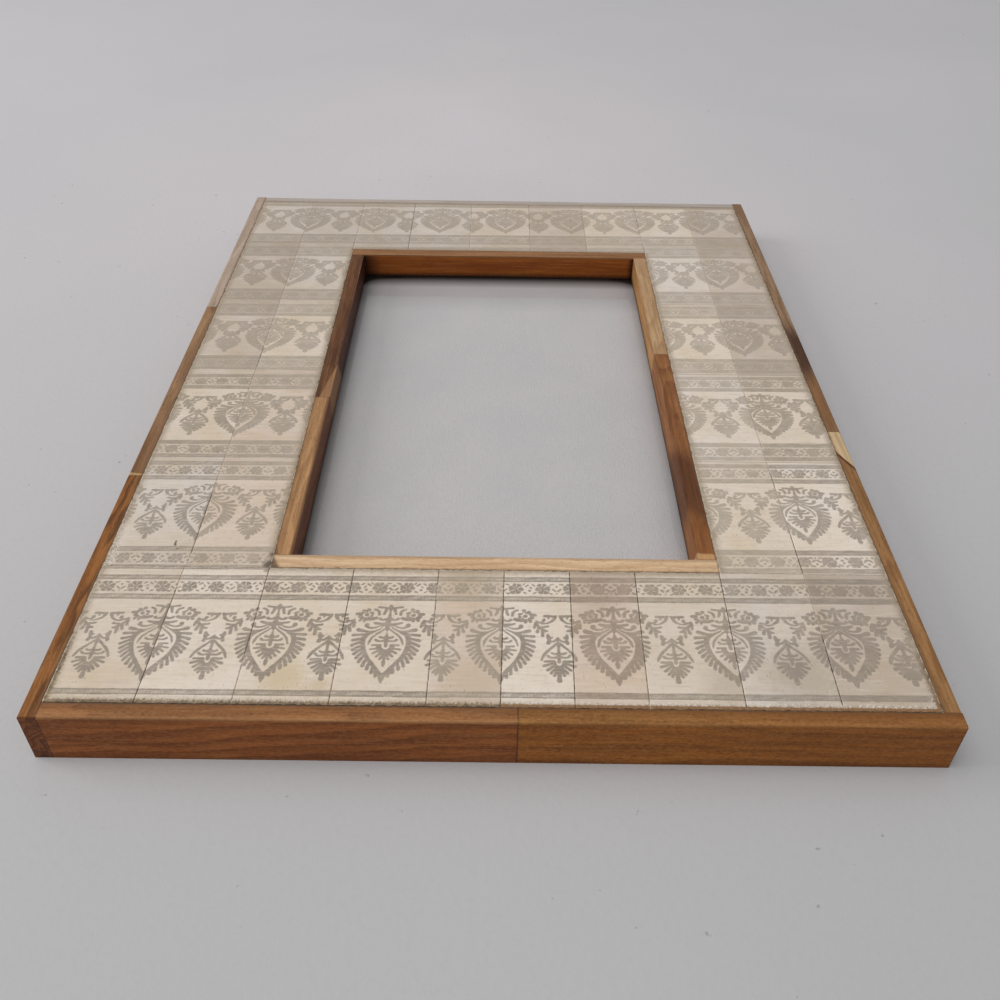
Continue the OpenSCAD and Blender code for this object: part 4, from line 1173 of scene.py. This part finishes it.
def floor():
    """A wide pale floor under the frame. Its colour carries painted light: it is paler away from the
    camera and darker to the sides, and painted shade dulls its far corners a little. It has a few
    specks."""
    half = 6000.0
    corners = np.array([[-half, -half, 0], [half, -half, 0], [half, half, 0], [-half, half, 0]])
    piece = mesh_piece("pale_floor", corners, [np.array([[0, 1, 2, 3]])])
    f = Finish("pale_floor")
    p = f.place()
    x, y, _ = f.parts(p)
    grain = f.noise(p, scale=0.7, detail=4.0, rough=0.6)
    cloud = f.noise(p, scale=0.012, detail=3.0)
    # painted light: the floor's colour grows paler away from the camera and darker towards the sides,
    # more to the right
    aside = f.add(f.times(x, -0.08), f.times(f.math("ABSOLUTE", x), -0.3))
    onward = f.slope(f.add(y, aside), -230, 215)
    colour = f.tint(paint(178, 179, 180), paint(209, 203, 206), onward)
    colour = f.tint(colour, paint(188, 188, 189), f.slope(cloud, 0.3, 0.7, 0.0, 0.3))
    colour = f.tint(colour, paint(172, 172, 173), f.slope(grain, 0.5, 0.8, 0.0, 0.25))
    corner = f.add(y, f.math("ABSOLUTE", f.add(x, 15.0)))
    colour = f.tint(colour, paint(186, 188, 189), f.slope(corner, 230, 400, 0.0, 0.45))
    speck = f.rise(f.noise(p, scale=0.4, detail=2.0), 0.735, 0.775, 0.0, 0.45)
    colour = f.tint(colour, paint(118, 112, 108), speck)
    piece.data.materials.append(f.close(colour, 0.6, grain, relief=0.06, Specular_IOR_Level=0.3))


def lamp(name, at, size, level, colour=(1, 1, 1)):
    """A square soft lamp aimed at the middle of the frame. level is how brightly it alone
    would light a white floor there."""
    distance = math.hypot(*at)
    light = bpy.data.lights.new(name, "AREA")
    light.shape = "SQUARE"
    light.size = size * MM
    light.energy = level * (math.pi * distance * MM) ** 2 * distance / at[2]
    light.color = colour
    holder = bpy.data.objects.new(name, light)
    holder.location = Vector(at) * MM
    holder.rotation_euler = Vector(at).to_track_quat("Z", "Y").to_euler()
    bpy.context.scene.collection.objects.link(holder)


def world():
    """An even room. What is mirrored or seen of it is brighter than the light it sheds."""
    sky = bpy.data.worlds.new("studio")
    bpy.context.scene.world = sky
    sky.use_nodes = True
    nodes, links = sky.node_tree.nodes, sky.node_tree.links
    path = nodes.new("ShaderNodeLightPath")
    seen = path.outputs["Is Camera Ray"]
    for other in ("Is Glossy Ray", "Is Transmission Ray"):
        either = nodes.new("ShaderNodeMath")
        either.operation = "MAXIMUM"
        links.new(seen, either.inputs[0])
        links.new(path.outputs[other], either.inputs[1])
        seen = either.outputs[0]
    strength = nodes.new("ShaderNodeMix")
    strength.inputs["A"].default_value, strength.inputs["B"].default_value = ROOM_LIGHT, ROOM_SEEN
    links.new(seen, strength.inputs[0])
    ground = nodes["Background"]
    ground.inputs["Color"].default_value = (0.97, 0.98, 1.0, 1)
    links.new(strength.outputs[0], ground.inputs["Strength"])


def camera():
    """Stands where the photograph was taken: yaw to the right of +Y, pitch down, and roll,
    all in degrees."""
    at, yaw, pitch, roll = (-0.3, -229.2, 162.05), 0.39, 40.22, 0.99
    focal_px, picture_px = 991.2, 1000
    yaw, pitch, roll = (math.radians(a) for a in (yaw, pitch, roll))
    flat = math.cos(pitch)
    ahead = Vector((math.sin(yaw) * flat, math.cos(yaw) * flat, -math.sin(pitch)))
    aside = Vector((math.cos(yaw), -math.sin(yaw), 0))
    upward = aside.cross(ahead)
    right = math.cos(roll) * aside + math.sin(roll) * upward
    up = -math.sin(roll) * aside + math.cos(roll) * upward
    lens = bpy.data.cameras.new("camera")
    lens.sensor_width = 36
    lens.lens = lens.sensor_width * focal_px / picture_px
    lens.clip_start, lens.clip_end = 1 * MM, 40
    holder = bpy.data.objects.new("camera", lens)
    pose = Matrix((right, up, -ahead)).transposed().to_4x4()
    pose.translation = Vector(at) * MM
    holder.matrix_world = pose
    bpy.context.scene.collection.objects.link(holder)
    bpy.context.scene.camera = holder


ROOM_LIGHT, ROOM_SEEN = 0.37, 0.45
floor()
world()
lamp("ceiling_light", (-480, -330, 1850), 1400, 0.48, (1.0, 0.985, 0.965))
lamp("window_light", (-1500, 150, 800), 900, 0.16)
camera()
bpy.context.scene.view_settings.view_transform = "Standard"
